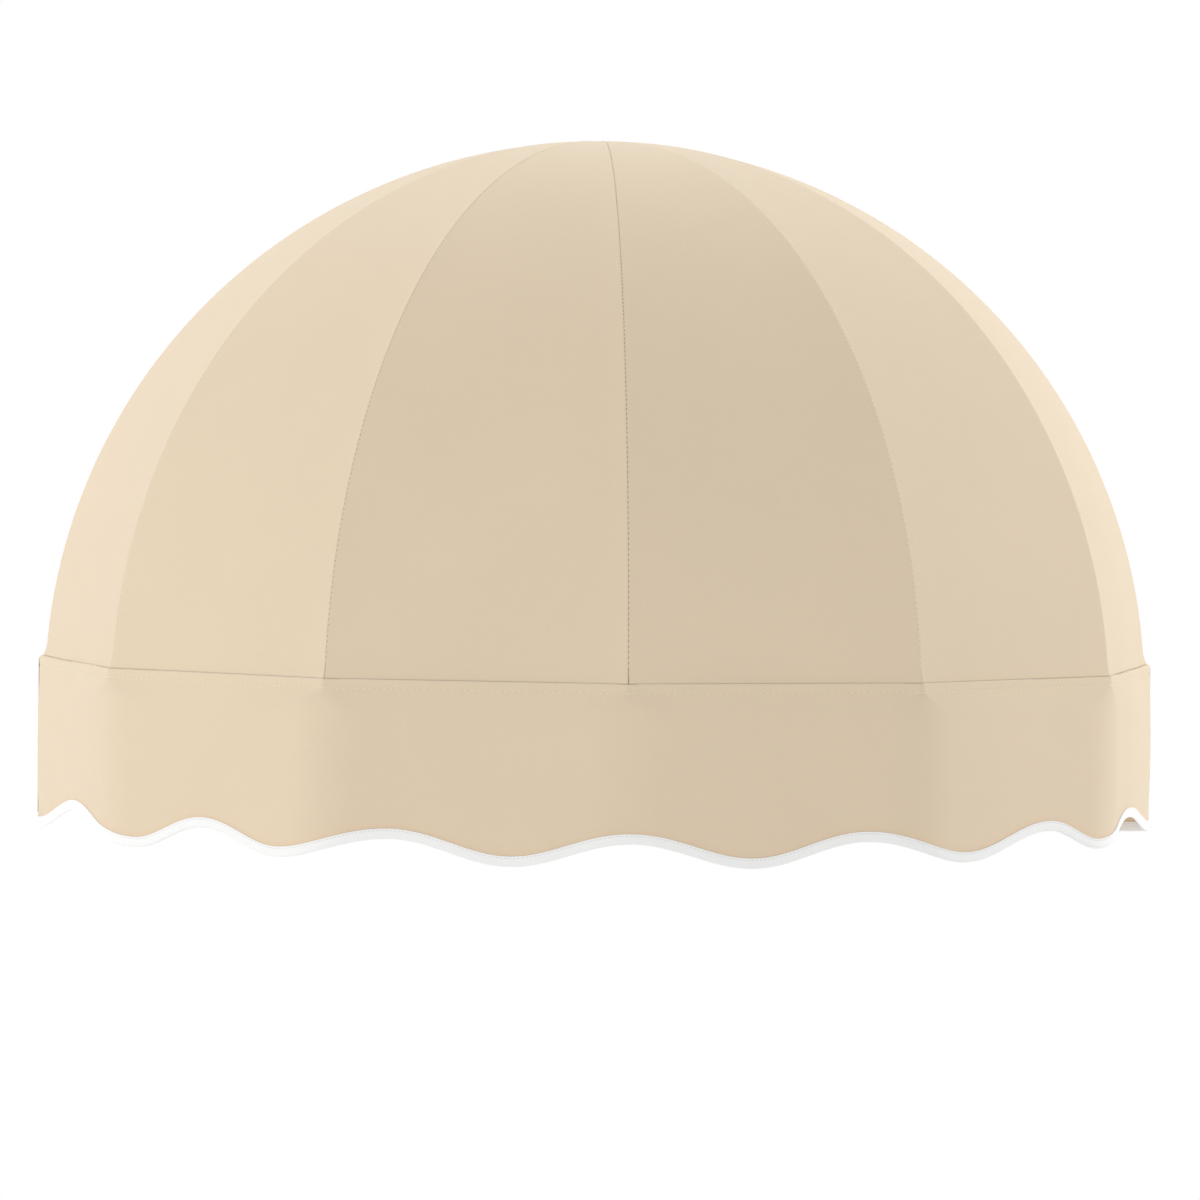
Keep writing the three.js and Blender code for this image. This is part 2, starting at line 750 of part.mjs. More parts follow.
for (const [suffix, side] of [["left", -1], ["right", 1]]) {
  const end = side === 1 ? distances.length - 1 : 0;
  const bottom = aboveBinding(distances[end]);
  const legStart = (tapeThickness - tapeWidth) / valanceReturn;
  const folded = (reach, beyond) => {
    const tip = beyond / valanceReturn;
    return [[1, legStart], [1, tip], [-1, tip], [-1, legStart]].map(([way, share]) => (
      wallRunPoint(side, 1 + share, valanceStandoff + way * reach)));
  };
  addPart(`end_binding_${suffix}`, uprightStrip(side, bottom, {
    front: folded(tapeOuter, tapeClearance + tapeThickness),
    back: folded(tapeInner, tapeClearance),
  }), tape);

  let cornerBottom = aboveBinding(archDistance * side);
  for (let i = 0; i < bendSteps; i += 1) {
    const beside = aboveBinding(distances[bendColumn(side) + side * i]);
    cornerBottom = Math.max(cornerBottom, beside);
  }
  const around = (reach) => {
    const points = [];
    for (let i = 0; i <= bendSteps; i += 1) {
      points.push(wallBendPoint(side, cordedTurn * i / bendSteps, valanceStandoff + reach));
    }
    return points;
  };
  addPart(`corner_binding_${suffix}`, uprightStrip(side, cornerBottom, {
    front: around(tapeInner + cordedThickness),
    back: around(tapeInner),
  }), tape);
}

export default awning;
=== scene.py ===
"""Dresses the window awning: sewn canvas, bound valance, tube frame and castings.

Metres, +Z up. The wall is the plane y = 0 and the awning stands out towards -Y.
"""
import bisect
import math

import bmesh
import bpy
from bpy.props import FloatProperty, FloatVectorProperty, IntProperty, PointerProperty
from bpy.types import Operator, Panel, PropertyGroup
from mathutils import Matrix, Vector


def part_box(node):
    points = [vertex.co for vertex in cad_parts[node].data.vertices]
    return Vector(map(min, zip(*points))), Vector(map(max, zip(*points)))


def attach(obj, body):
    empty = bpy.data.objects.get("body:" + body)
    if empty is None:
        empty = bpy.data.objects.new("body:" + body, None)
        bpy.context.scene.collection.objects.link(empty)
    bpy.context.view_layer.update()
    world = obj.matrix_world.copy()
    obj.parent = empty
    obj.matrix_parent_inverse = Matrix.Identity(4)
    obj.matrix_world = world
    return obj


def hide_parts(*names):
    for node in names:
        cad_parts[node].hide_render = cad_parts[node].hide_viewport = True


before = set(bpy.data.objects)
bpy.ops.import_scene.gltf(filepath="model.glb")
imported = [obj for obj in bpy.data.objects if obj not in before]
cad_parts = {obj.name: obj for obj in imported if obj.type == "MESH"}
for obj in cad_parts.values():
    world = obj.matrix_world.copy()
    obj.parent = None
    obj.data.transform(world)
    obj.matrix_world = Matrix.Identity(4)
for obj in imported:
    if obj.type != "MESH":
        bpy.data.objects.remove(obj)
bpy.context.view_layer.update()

bl_info = {
    "name": "Dome Awning",
    "version": (1, 0, 0),
    "blender": (4, 5, 0),
    "location": "3D View > Sidebar > Awning",
    "description": "Builds the sewn cover, bindings, tubes and stage of a fixed dome awning",
    "category": "Object",
}

MM = 0.001
PANELS = 6
PANEL_TURN = math.pi / PANELS
HALF_TURN = PANEL_TURN / 2
FLATNESS = math.cos(HALF_TURN)
QUARTER_TURN = math.pi / 2
RIM_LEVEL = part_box("gore_1")[0].z
PANEL_NODES = [f"gore_{i + 1}" for i in range(PANELS)]
RIB_NODES = [f"rib_{i + 1}" for i in range(PANELS - 1)]
HOOP_NODES = [f"hoop_tube_{i + 1}" for i in range(PANELS)]
POCKET_NODES = [f"hoop_pocket_{i + 1}" for i in range(PANELS)]
FOOT_NODES = [f"rib_foot_{i + 1}" for i in range(PANELS - 1)]
CASTING_NODES = FOOT_NODES + ["corner_bracket_left", "corner_bracket_right", "crown_hub"]


def length(name, description, default):
    return FloatProperty(
        name=name, description=description, default=default, unit="LENGTH", precision=4)


def angle(name, description, degrees):
    return FloatProperty(
        name=name, description=description, default=math.radians(degrees),
        subtype="ANGLE", unit="ROTATION")


def power(name, description, default):
    return FloatProperty(name=name, description=description, default=default, unit="POWER")


def colour(name, description, default):
    return FloatVectorProperty(
        name=name, description=description, default=default, subtype="COLOR", min=0, max=1)


class AwningDomeSizes(PropertyGroup):
    """Sizes of the dome that the cover and the ribs share."""

    radius: length("Dome radius", "Outer face of the canvas along each seam", 0.4955)
    setback: length("Arch setback", "Wall to the middle of the arch tube", 0.017)
    rim_height: length("Rim height", "Fold of the valance above the hoop tubes", 0.0275)
    crown_tip: length("Crown tip", "How near the panels come to the crown's centre", 0.003)
    canvas: length("Canvas thickness", "Thickness of the canvas", 0.0008)
    slack: length("Panel slack", "How far a panel sinks between two ribs", 0.0009)
    lap: length("Seam lap", "Height of the lapped seams above the panels", 0.00062)


class AwningValanceSizes(PropertyGroup):
    """Sizes of the hanging valance and its bindings."""

    drop: length("Drop", "Fold to the mean line of the scallops", 0.139)
    scallop_depth: length("Scallop depth", "Top of an arch to the tip of a tongue", 0.020)
    standoff: length("Standoff", "Panels to the middle of the valance's canvas", 0.005)
    fold_standoff: length("Fold standoff", "The same at the fold, away from the wall", 0.0024)
    flare_drop: length("Flare drop", "Fold to where the full standoff is reached", 0.028)
    flare_end: length("Flare end", "Run to the wall over which the fold stands off", 0.070)
    bulge: length("Bulge", "Extra standoff halfway down", 0.0018)
    front_bend: length("Front bend", "Bend radius in front of each rib", 0.120)
    rear_bend: length("Rear bend", "Bend radius beside the arch", 0.015)
    fold_bend: length("Fold bend", "Bend radius of the fold in front of each rib", 0.006)
    wall_bend: length("Wall bend", "Bend radius where it turns in along the wall", 0.003)
    wall_run: length("Wall run", "How far it then runs inwards", 0.0205)
    ripple: length("Ripple", "Depth of the soft waves at its lower edge", 0.0008)
    tape_width: length("Tape width", "Width of the finished binding", 0.0087)
    tape: length("Tape thickness", "Thickness of the binding tape", 0.0005)


class AwningFrameSizes(PropertyGroup):
    """Sizes of the tubes."""

    tube_radius: length("Tube radius", "Outer radius of every tube", 0.008)
    tube_wall: length("Tube wall", "Wall thickness of every tube", 0.0015)
    tube_clearance: length("Tube clearance", "Between a tube and the canvas over it", 0.0007)
    joint_reach: length("Joint reach", "Corner of the hoop to the end of each tube", 0.014)
    hub_reach: length("Hub reach", "Crown's centre to the upper end of each rib", 0.048)


class AwningSewing(PropertyGroup):
    """Stitch lengths and thread sizes."""

    pitch: length("Stitch pitch", "From one stitch to the next", 0.0045)
    thread: length("Thread width", "Width of a stitch", 0.00055)
    hem_row: length("Row below the fold", "Fold of the valance to its stitch row", 0.0063)


class AwningColours(PropertyGroup):
    """Colours of the finishes."""

    canvas: colour("Canvas", "Woven canvas", (0.745, 0.615, 0.448))
    binding: colour("Binding", "Binding tape", (0.665, 0.66, 0.655))
    thread: colour("Thread", "Sewing thread on the canvas", (0.86, 0.76, 0.61))
    tube: colour("Tube", "Powder coat of the tubes", (0.74, 0.73, 0.70))
    casting: colour("Casting", "Cast aluminium", (0.62, 0.62, 0.62))
    floor: colour("Floor", "Pale floor", (0.86, 0.86, 0.86))


class AwningStage(PropertyGroup):
    """Camera and lamps."""

    distance: length("Camera distance", "Camera to the point that it was fitted on", 5.3316)
    azimuth: angle("Camera azimuth", "Turn of the camera away from straight ahead", -2.93)
    elevation: angle("Camera elevation", "Height of the camera as an angle", 0.32)
    roll: angle("Camera roll", "Lean of the camera", 0.587)
    lens: length("Focal length", "For a film 36 mm wide", 0.1778)
    floor_drop: length("Floor drop", "Awning's origin to the floor", 1.6)
    left_power: power("Left lamp", "Power of the left lamp", 14.5)
    right_power: power("Right lamp", "Power of the right lamp", 22.8)
    top_power: power("Top lamp", "Power of the top lamp", 17.3)
    front_power: power("Front lamp", "Power of the front lamp", 12.8)
    ambient: FloatProperty(
        name="Ambient", description="Strength of the even light from all around", default=0.855)


# Plan of the awning, seen from above. An azimuth of 0 points away from the wall, and a quarter
# turn points along +X. A polar angle is counted from the crown. Heights start at the hoop.

def outward(azimuth):
    return Vector((math.sin(azimuth), -math.cos(azimuth), 0))


def corner_azimuth(corner):
    """Azimuth of a corner of the hoop: the arch's ends are the first and the last."""
    return -QUARTER_TURN + PANEL_TURN * corner


def panel_azimuth(panel):
    """Azimuth of the middle of a panel."""
    return -QUARTER_TURN + HALF_TURN + PANEL_TURN * panel


def span(before, after):
    return (after - before).length


def run_lengths(points, distance=math.dist):
    """Length along a line of points, up to each of them."""
    sums = [0.0]
    for before, after in zip(points, points[1:]):
        sums.append(sums[-1] + distance(before, after))
    return sums


class DomePlan:
    """Places on the dome, from its sizes."""

    def __init__(self, scene):
        dome, tubes = scene.awning_dome, scene.awning_frame
        self.radius = dome.radius
        self.canvas = dome.canvas
        self.setback = dome.setback
        self.rim_height = dome.rim_height
        self.hoop_level = RIM_LEVEL - dome.rim_height
        self.tube_radius = tubes.tube_radius
        self.around_tube = tubes.tube_radius + tubes.tube_clearance
        self.tube_circle = dome.radius - (self.around_tube + dome.canvas) / FLATNESS
        self.rim_distance = math.sqrt(dome.radius ** 2 - dome.rim_height ** 2) * FLATNESS
        self.hoop_distance = self.tube_circle * FLATNESS
        self.foot_polar = math.acos(tubes.joint_reach / self.tube_circle)
        self.hub_polar = math.asin(tubes.hub_reach / self.tube_circle)

    def at(self, azimuth, distance, height):
        place = outward(azimuth) * distance
        return place + Vector((0, -self.setback, self.hoop_level + height))

    def on_dome(self, azimuth, polar, radius):
        return self.at(azimuth, radius * math.sin(polar), radius * math.cos(polar))


def eased(share):
    """A share from 0 to 1 with a soft start and end."""
    inside = min(1, max(0, share))
    return inside * inside * (3 - 2 * inside)


# Offset from the panels at which the valance's fold begins.
FOLD_START = 0.0009

# Where the scalloped edge turns, from the left: the share of the way along the valance from the
# awning's middle to the end of the wall arch, and the height, 1 at the top of a full arch and -1
# at the tip of a full tongue.
SCALLOP_TURNS = (
    (-1.08, 1), (-1.005, -1.1), (-0.8, 1.3), (-0.62, -1), (-0.512, 1.1), (-0.399, -0.87),
    (-0.259, 1), (-0.127, -1.05), (0.004, 1), (0.141, -1.1), (0.27, 1), (0.407, -1),
    (0.552, 1.15), (0.644, -0.68), (0.796, 1.3), (1.035, -1))


def fold_offset(sizes, from_wall):
    """Offset of the fold's front layer from the panels, at a distance from the wall."""
    near = eased(1 - from_wall / sizes.flare_end)
    return sizes.fold_standoff + (sizes.standoff - sizes.fold_standoff) * near


def fold_radius(sizes, from_wall):
    return (fold_offset(sizes, from_wall) - FOLD_START) / 2


class ValancePlan(DomePlan):
    """Places on the hanging valance, by their distance along it from the awning's middle."""

    BEND_STEPS = 22
    FLAT_STEPS = 46
    REAR_STEPS = 8

    def __init__(self, scene):
        super().__init__(scene)
        sizes = scene.awning_valance
        self.sizes = sizes
        self.columns = self.make_columns()
        self.reach = self.measure()
        first = next(i for i, c in enumerate(self.columns) if not c[0])
        self.first_front = first
        self.last_front = len(self.columns) - 1 - first
        self.arch_distance = self.reach[self.last_front]

    def bend_point(self, azimuth, turn, offset, bend):
        centre = (self.rim_distance + offset - bend) / FLATNESS
        return self.at(azimuth, centre, 0) + outward(azimuth + turn) * bend

    def wall_point(self, side, turn, offset):
        radius = self.sizes.wall_bend
        hem_back = self.radius - self.tube_circle
        centre = self.at(0, 0, 0)
        centre.x = side * (self.radius - radius)
        centre.y += hem_back - radius
        return centre + outward(side * (QUARTER_TURN + turn)) * (radius + offset)

    def run_point(self, side, share, offset):
        end = self.wall_point(side, QUARTER_TURN, offset)
        end.x -= side * share * self.sizes.wall_run
        return end

    def make_columns(self):
        """Each column is (beside the wall, place for an offset and a bend radius)."""
        sizes = self.sizes
        steps = self.REAR_STEPS
        rear = []
        for i in range(steps):
            rear.append((True, lambda side, o, k=1 - i / steps: self.run_point(side, k, o)))
        for i in range(steps + 1):
            turn = QUARTER_TURN * (1 - i / steps)
            rear.append((True, lambda side, o, t=turn: self.wall_point(side, t, o)))
        columns = [(True, lambda o, b, f=f: f(-1, o)) for _, f in rear]
        for k in range(PANELS + 1):
            azimuth = corner_azimuth(k)
            last = k == PANELS
            start = 0 if k == 0 else -HALF_TURN
            end = 0 if last else HALF_TURN
            limit = sizes.rear_bend if k in (0, PANELS) else sizes.front_bend
            for i in range(self.BEND_STEPS + 1):
                turn = start + (end - start) * i / self.BEND_STEPS
                columns.append((False, lambda o, b, a=azimuth, t=turn, m=limit:
                                self.bend_point(a, t, o, min(b, m))))
            if last:
                break
            following = sizes.rear_bend if k + 1 == PANELS else sizes.front_bend
            for i in range(1, self.FLAT_STEPS):
                share = i / self.FLAT_STEPS
                columns.append((False, lambda o, b, a=azimuth, m=limit, n=following, t=share:
                                self.bend_point(a, HALF_TURN, o, min(b, m)).lerp(
                                    self.bend_point(a + PANEL_TURN, -HALF_TURN, o, min(b, n)), t)))
        columns += [(True, lambda o, b, f=f: f(1, o)) for _, f in reversed(rear)]
        return columns

    def measure(self):
        sizes = self.sizes
        places = [place(sizes.standoff, sizes.front_bend) for _, place in self.columns]
        sums = run_lengths(places, span)
        middle = sums[-1] / 2
        return [s - middle for s in sums]

    def edge_height(self, distance):
        """Height of the scalloped lower edge."""
        share = distance / self.arch_distance
        after = min(max(bisect.bisect_left(SCALLOP_TURNS, (share,)), 1), len(SCALLOP_TURNS) - 1)
        (start, start_rise), (end, end_rise) = SCALLOP_TURNS[after - 1:after + 1]
        way = (1 - math.cos(math.pi * (share - start) / (end - start))) / 2
        rise = start_rise + (end_rise - start_rise) * way
        return self.rim_height - self.sizes.drop + rise * self.sizes.scallop_depth / 2

    def edge_stretch(self, distance):
        """How much longer a height is than the same length square to the edge."""
        step = 0.001
        rise = self.edge_height(distance + step) - self.edge_height(distance - step)
        return math.hypot(1, rise / (2 * step))

    def above_binding(self, column):
        """Height over the binding at which another piece may start."""
        distance = self.reach[column]
        return self.edge_height(distance) + self.sizes.tape_width * self.edge_stretch(distance)

    def flare(self, height):
        """How far the flare has opened: 0 at the fold, and 1 below it."""
        return eased((self.rim_height - height) / self.sizes.flare_drop)

    def cloth_offset(self, column, height):
        """Offset of the hanging canvas's middle from the panels."""
        sizes = self.sizes
        distance = self.reach[column]
        top = fold_offset(sizes, self.arch_distance - abs(distance))
        flared = top + (sizes.standoff - top) * self.flare(height)
        if self.columns[column][0]:
            return flared
        lowest = self.edge_height(distance)
        share = (self.rim_height - max(height, lowest)) / (self.rim_height - lowest)
        ends = self.reach[self.first_front], self.reach[self.last_front]
        fade = min(1, (distance - ends[0]) / 0.05, (ends[1] - distance) / 0.05)
        wave = math.sin(distance * 19 + 1.2) + 0.6 * math.sin(distance * 41 + 0.4)
        return (flared + sizes.bulge * math.sin(math.pi * share)
                + sizes.ripple * fade * share ** 1.5 * wave)

    def place(self, column, offset, height):
        sizes = self.sizes
        bend = sizes.fold_bend + (sizes.front_bend - sizes.fold_bend) * self.flare(height)
        point = self.columns[column][1](offset, bend)
        point.z = self.hoop_level + height
        return point

    def column_at(self, distance):
        """The column before a distance, and the share of the way to the next."""
        low, high = 0, len(self.reach) - 1
        while high - low > 1:
            middle = (low + high) // 2
            if self.reach[middle] <= distance:
                low = middle
            else:
                high = middle
        step = self.reach[low + 1] - self.reach[low]
        return low, (distance - self.reach[low]) / step


# Meshes

def new_mesh(name, points, faces):
    mesh = bpy.data.meshes.new(name)
    mesh.from_pydata(points, [], faces)
    return mesh


def finish_mesh(mesh, uv_of_vertex=None, marks=None, sharp=40):
    """Turns all faces outwards, shades them smooth and stores cloth coordinates and marks."""
    shape = bmesh.new()
    shape.from_mesh(mesh)
    bmesh.ops.recalc_face_normals(shape, faces=shape.faces)
    shape.to_mesh(mesh)
    shape.free()
    if uv_of_vertex:
        layer = mesh.uv_layers.new(name="cloth")
        flat = []
        for loop in mesh.loops:
            flat.extend(uv_of_vertex[loop.vertex_index])
        layer.data.foreach_set("uv", flat)
    for name, values in (marks or {}).items():
        mark = mesh.attributes.new(name, "FLOAT", "POINT")
        mark.data.foreach_set("value", values)
    mesh.shade_smooth()
    mesh.set_sharp_from_angle(angle=math.radians(sharp))
    mesh.update()


def cloth_mesh(name, front, back, coordinates, marks=None, sharp=40):
    """A thin closed cloth. front and back hold rows of points of its two faces."""
    rows, across = len(front), len(front[0])
    count = rows * across
    points = [p for row in front for p in row] + [p for row in back for p in row]
    faces = []
    for i in range(rows - 1):
        for j in range(across - 1):
            a, b = i * across + j, (i + 1) * across + j
            faces.append((a, a + 1, b + 1, b))
            faces.append((a + count, b + count, b + 1 + count, a + 1 + count))
    for i in range(rows - 1):
        for j in (0, across - 1):
            a, b = i * across + j, (i + 1) * across + j
            faces.append((a, b, b + count, a + count))
    for j in range(across - 1):
        for i in (0, rows - 1):
            a = i * across + j
            faces.append((a, a + 1, a + 1 + count, a + count))
    mesh = new_mesh(name, points, faces)
    uv = [c for row in coordinates for c in row] * 2
    twice = {k: [v for row in rows_of for v in row] * 2 for k, rows_of in (marks or {}).items()}
    finish_mesh(mesh, uv, twice, sharp)
    return mesh


def tube_mesh(name, path, radius, wall, sides=28):
    """An open tube with a wall, along points that lie in one plane."""
    points, faces = [], []
    binormal = None
    for a, b, c in zip(path, path[1:], path[2:]):
        turn = (b - a).cross(c - b)
        if turn.length > 1e-9:
            binormal = turn.normalized()
            break
    if binormal is None:
        binormal = Vector((0, 0, 1))
    for i, place in enumerate(path):
        along = (path[min(i + 1, len(path) - 1)] - path[max(i - 1, 0)]).normalized()
        normal = binormal.cross(along)
        for r in (radius, radius - wall):
            for k in range(sides):
                turn = math.tau * k / sides
                points.append(place + (normal * math.cos(turn) + binormal * math.sin(turn)) * r)
    for i in range(len(path) - 1):
        for k in range(sides):
            n = (k + 1) % sides
            a, b = i * 2 * sides, (i + 1) * 2 * sides
            faces.append((a + k, a + n, b + n, b + k))
            faces.append((a + sides + k, b + sides + k, b + sides + n, a + sides + n))
    for i in (0, len(path) - 1):
        a = i * 2 * sides
        for k in range(sides):
            n = (k + 1) % sides
            faces.append((a + k, a + n, a + sides + n, a + sides + k))
    mesh = new_mesh(name, points, faces)
    finish_mesh(mesh)
    return mesh


STITCH_RINGS = ((-0.4, 0.62), (-0.22, 0.95), (0, 1), (0.22, 0.95), (0.4, 0.62))
STITCH_SIDES = 6
# How deep a stitch sits in the cloth, and its height, both as shares of its width.
STITCH_SUNK = 0.3
STITCH_HEIGHT = 0.42
# How much of the pitch one stitch takes up.
STITCH_SHARE = 0.72


def stitches_mesh(name, stitches, width):
    """Short rounded threads. Each stitch is (centre, vector from end to end, outward normal)."""
    points, faces = [], []
    for centre, reach, normal in stitches:
        start = len(points)
        side = reach.cross(normal).normalized()
        points.append(centre - reach * 0.5 - normal * width * STITCH_SUNK)
        for share, size in STITCH_RINGS:
            middle = centre + reach * share - normal * width * STITCH_SUNK * (1 - size)
            for k in range(STITCH_SIDES):
                turn = math.tau * k / STITCH_SIDES
                spoke = side * math.cos(turn) * 0.5 + normal * math.sin(turn) * STITCH_HEIGHT
                points.append(middle + spoke * width * size)
        points.append(centre + reach * 0.5 - normal * width * STITCH_SUNK)
        last = len(points) - 1
        for k in range(STITCH_SIDES):
            n = (k + 1) % STITCH_SIDES
            faces.append((start, start + 1 + n, start + 1 + k))
            for i in range(len(STITCH_RINGS) - 1):
                a = start + 1 + i * STITCH_SIDES
                b = a + STITCH_SIDES
                faces.append((a + k, a + n, b + n, b + k))
            a = last - STITCH_SIDES
            faces.append((a + k, a + n, last))
    mesh = new_mesh(name, points, faces)
    finish_mesh(mesh, sharp=80)
    return mesh


def add_piece(name, mesh, finish, replaces=()):
    """Puts a finished mesh in the scene, on the awning's one body."""
    mesh.materials.append(finish)
    piece = bpy.data.objects.new(name, mesh)
    bpy.context.scene.collection.objects.link(piece)
    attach(piece, "root")
    if replaces:
        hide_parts(*replaces)
    return piece


def section_faces(section, thickness):
    """The two faces of a cloth from its middle line, as lists of (offset, height)."""
    front, back = [], []
    for i, (offset, height) in enumerate(section):
        before = section[max(i - 1, 0)]
        after = section[min(i + 1, len(section) - 1)]
        along = Vector((after[0] - before[0], after[1] - before[1])).normalized()
        normal = Vector((-along.y, along.x)) * thickness / 2
        front.append((offset + normal.x, height + normal.y))
        back.append((offset - normal.x, height - normal.y))
    return front, back


# Finishes

class Finish:
    """A material under construction."""

    def __init__(self, name, base, roughness, **sockets):
        self.material = bpy.data.materials.new(name)
        self.material.use_nodes = True
        self.tree = self.material.node_tree
        self.shader = self.tree.nodes["Principled BSDF"]
        self.shader.inputs["Base Color"].default_value = (*base, 1)
        self.shader.inputs["Roughness"].default_value = roughness
        for socket, value in sockets.items():
            self.shader.inputs[socket.replace("_", " ")].default_value = value
        self.place = self.add("ShaderNodeTexCoord").outputs

    def add(self, kind, **settings):
        node = self.tree.nodes.new(kind)
        for key, value in settings.items():
            setattr(node, key, value)
        return node

    def set(self, socket, value):
        if isinstance(value, bpy.types.NodeSocket):
            self.tree.links.new(value, socket)
        else:
            socket.default_value = value

    def math(self, operation, *values):
        node = self.add("ShaderNodeMath", operation=operation)
        for socket, value in zip(node.inputs, values):
            self.set(socket, value)
        return node.outputs[0]

    def noise(self, scale, detail=3.0, roughness=0.5, where="Object"):
        node = self.add("ShaderNodeTexNoise")
        self.set(node.inputs["Vector"], self.place[where])
        for name, value in (("Scale", scale), ("Detail", detail), ("Roughness", roughness)):
            node.inputs[name].default_value = value
        return node.outputs["Fac"]

    def spread(self, value, low, high):
        """Stretches a value from 0 to 1 over a range."""
        node = self.add("ShaderNodeMapRange")
        for name, setting in (("Value", value), ("To Min", low), ("To Max", high)):
            self.set(node.inputs[name], setting)
        return node.outputs["Result"]

    def mark(self, name):
        return self.add("ShaderNodeAttribute", attribute_name=name).outputs["Fac"]

    def mix(self, share, first, second):
        node = self.add("ShaderNodeMix", data_type="RGBA")
        colours = [socket for socket in node.inputs if socket.type == "RGBA"]
        self.set(node.inputs["Factor"], share)
        self.set(colours[0], first)
        self.set(colours[1], second)
        return next(o for o in node.outputs if o.type == "RGBA")

    def shade(self, tint, factor):
        """Multiplies a colour by a value."""
        node = self.add("ShaderNodeVectorMath", operation="SCALE")
        self.set(node.inputs[0], tint)
        self.set(node.inputs["Scale"], factor)
        return node.outputs[0]

    def bump(self, height, depth, below=None):
        node = self.add("ShaderNodeBump")
        self.set(node.inputs["Height"], height)
        node.inputs["Strength"].default_value = 1
        node.inputs["Distance"].default_value = depth
        if below is not None:
            self.set(node.inputs["Normal"], below)
        return node.outputs["Normal"]

    def weave(self, pitch):
        """Height of a plain weave with one yarn per pitch, from 0 to 1."""
        flat = self.add("ShaderNodeSeparateXYZ")
        self.set(flat.inputs[0], self.place["UV"])
        across = self.math("SINE", self.math("MULTIPLY", flat.outputs[0], math.pi / pitch))
        along = self.math("SINE", self.math("MULTIPLY", flat.outputs[1], math.pi / pitch))
        over = self.math("GREATER_THAN", self.math("MULTIPLY", across, along), 0)
        warp, weft = self.math("ABSOLUTE", across), self.math("ABSOLUTE", along)
        warp_top = self.math("MULTIPLY", warp, self.math("MULTIPLY_ADD", weft, 0.4, 0.6))
        weft_top = self.math("MULTIPLY", weft, self.math("MULTIPLY_ADD", warp, 0.4, 0.6))
        difference = self.math("SUBTRACT", warp_top, weft_top)
        return self.math("MULTIPLY_ADD", difference, over, weft_top)

    def wear(self, socket, value):
        self.set(self.shader.inputs[socket], value)


def canvas_finish(colours):
    finish = Finish("woven_canvas", colours.canvas, 0.85, Sheen_Weight=0.25, Sheen_Roughness=0.4,
                    Sheen_Tint=(1.0, 0.97, 0.92, 1), Specular_IOR_Level=0.35)
    weave = finish.weave(0.00052)
    cloud = finish.noise(9, 4)
    slub = finish.noise(420, 2)
    base = tuple(colours.canvas)
    tone = finish.math("ADD", finish.spread(cloud, 0.975, 1.02), finish.spread(slub, -0.02, 0.02))
    tone = finish.math("ADD", tone, finish.spread(weave, -0.06, 0.035))
    woven = finish.shade(base, tone)
    # Painted glow: a warm tint where the glow mark is set, standing in for light that shines
    # through the canvas.
    glowing = finish.mix(finish.mark("warmth"), woven, (0.78, 0.55, 0.36, 1))
    # Painted shade: dark brown where the crease mark is set, standing in for shade in the seam
    # ditches and along the fold.
    shaded_canvas = finish.mix(finish.mark("crease"), glowing, (0.16, 0.11, 0.07, 1))
    finish.wear("Base Color", shaded_canvas)
    finish.wear("Roughness", finish.spread(slub, 0.8, 0.92))
    soft = finish.bump(finish.noise(55, 3), 0.00012)
    finish.wear("Normal", finish.bump(weave, 0.00007, soft))
    return finish.material


def binding_finish(colours):
    finish = Finish("binding_tape", colours.binding, 0.8, Sheen_Weight=0.06,
                    Sheen_Roughness=0.5, Specular_IOR_Level=0.3)
    weave = finish.weave(0.0004)
    cloud = finish.noise(30, 3)
    tone = finish.math("ADD", finish.spread(cloud, 0.97, 1.02), finish.spread(weave, -0.08, 0.03))
    finish.wear("Base Color", finish.shade(tuple(colours.binding), tone))
    finish.wear("Roughness", finish.spread(cloud, 0.68, 0.82))
    soft = finish.bump(finish.noise(160, 2), 0.00016)
    finish.wear("Normal", finish.bump(weave, 0.00006, soft))
    return finish.material


def thread_finish(name, tint):
    finish = Finish(name, tint, 0.6, Sheen_Weight=0.2)
    twist = finish.noise(2600, 1)
    finish.wear("Base Color", finish.shade(tuple(tint), finish.spread(twist, 0.88, 1.06)))
    finish.wear("Normal", finish.bump(twist, 0.00008))
    return finish.material


def tube_finish(colours):
    finish = Finish("powder_coated_tube", colours.tube, 0.4, Metallic=0.0, Coat_Weight=0.15)
    grain = finish.noise(900, 2)
    cloud = finish.noise(14, 3)
    finish.wear("Base Color", finish.shade(tuple(colours.tube), finish.spread(cloud, 0.94, 1.03)))
    finish.wear("Roughness", finish.spread(cloud, 0.34, 0.5))
    finish.wear("Normal", finish.bump(grain, 0.00006))
    return finish.material


def casting_finish(colours):
    finish = Finish("cast_aluminium", colours.casting, 0.45, Metallic=1.0)
    grain = finish.noise(1500, 3, 0.6)
    cloud = finish.noise(40, 4)
    tone = finish.spread(cloud, 0.86, 1.08)
    finish.wear("Base Color", finish.shade(tuple(colours.casting), tone))
    finish.wear("Roughness", finish.spread(cloud, 0.36, 0.58))
    finish.wear("Normal", finish.bump(grain, 0.00012))
    return finish.material


def shared_finish(name, make):
    """The material of that name, made on its first use."""
    return bpy.data.materials.get(name) or make()


def canvas_of(scene):
    return shared_finish("woven_canvas", lambda: canvas_finish(scene.awning_colours))


def binding_of(scene):
    return shared_finish("binding_tape", lambda: binding_finish(scene.awning_colours))


def canvas_thread_of(scene):
    tint = scene.awning_colours.thread
    return shared_finish("canvas_thread", lambda: thread_finish("canvas_thread", tint))


def binding_thread_of(scene):
    tint = scene.awning_colours.binding
    return shared_finish("binding_thread", lambda: thread_finish("binding_thread", tint))


# The dome's cover

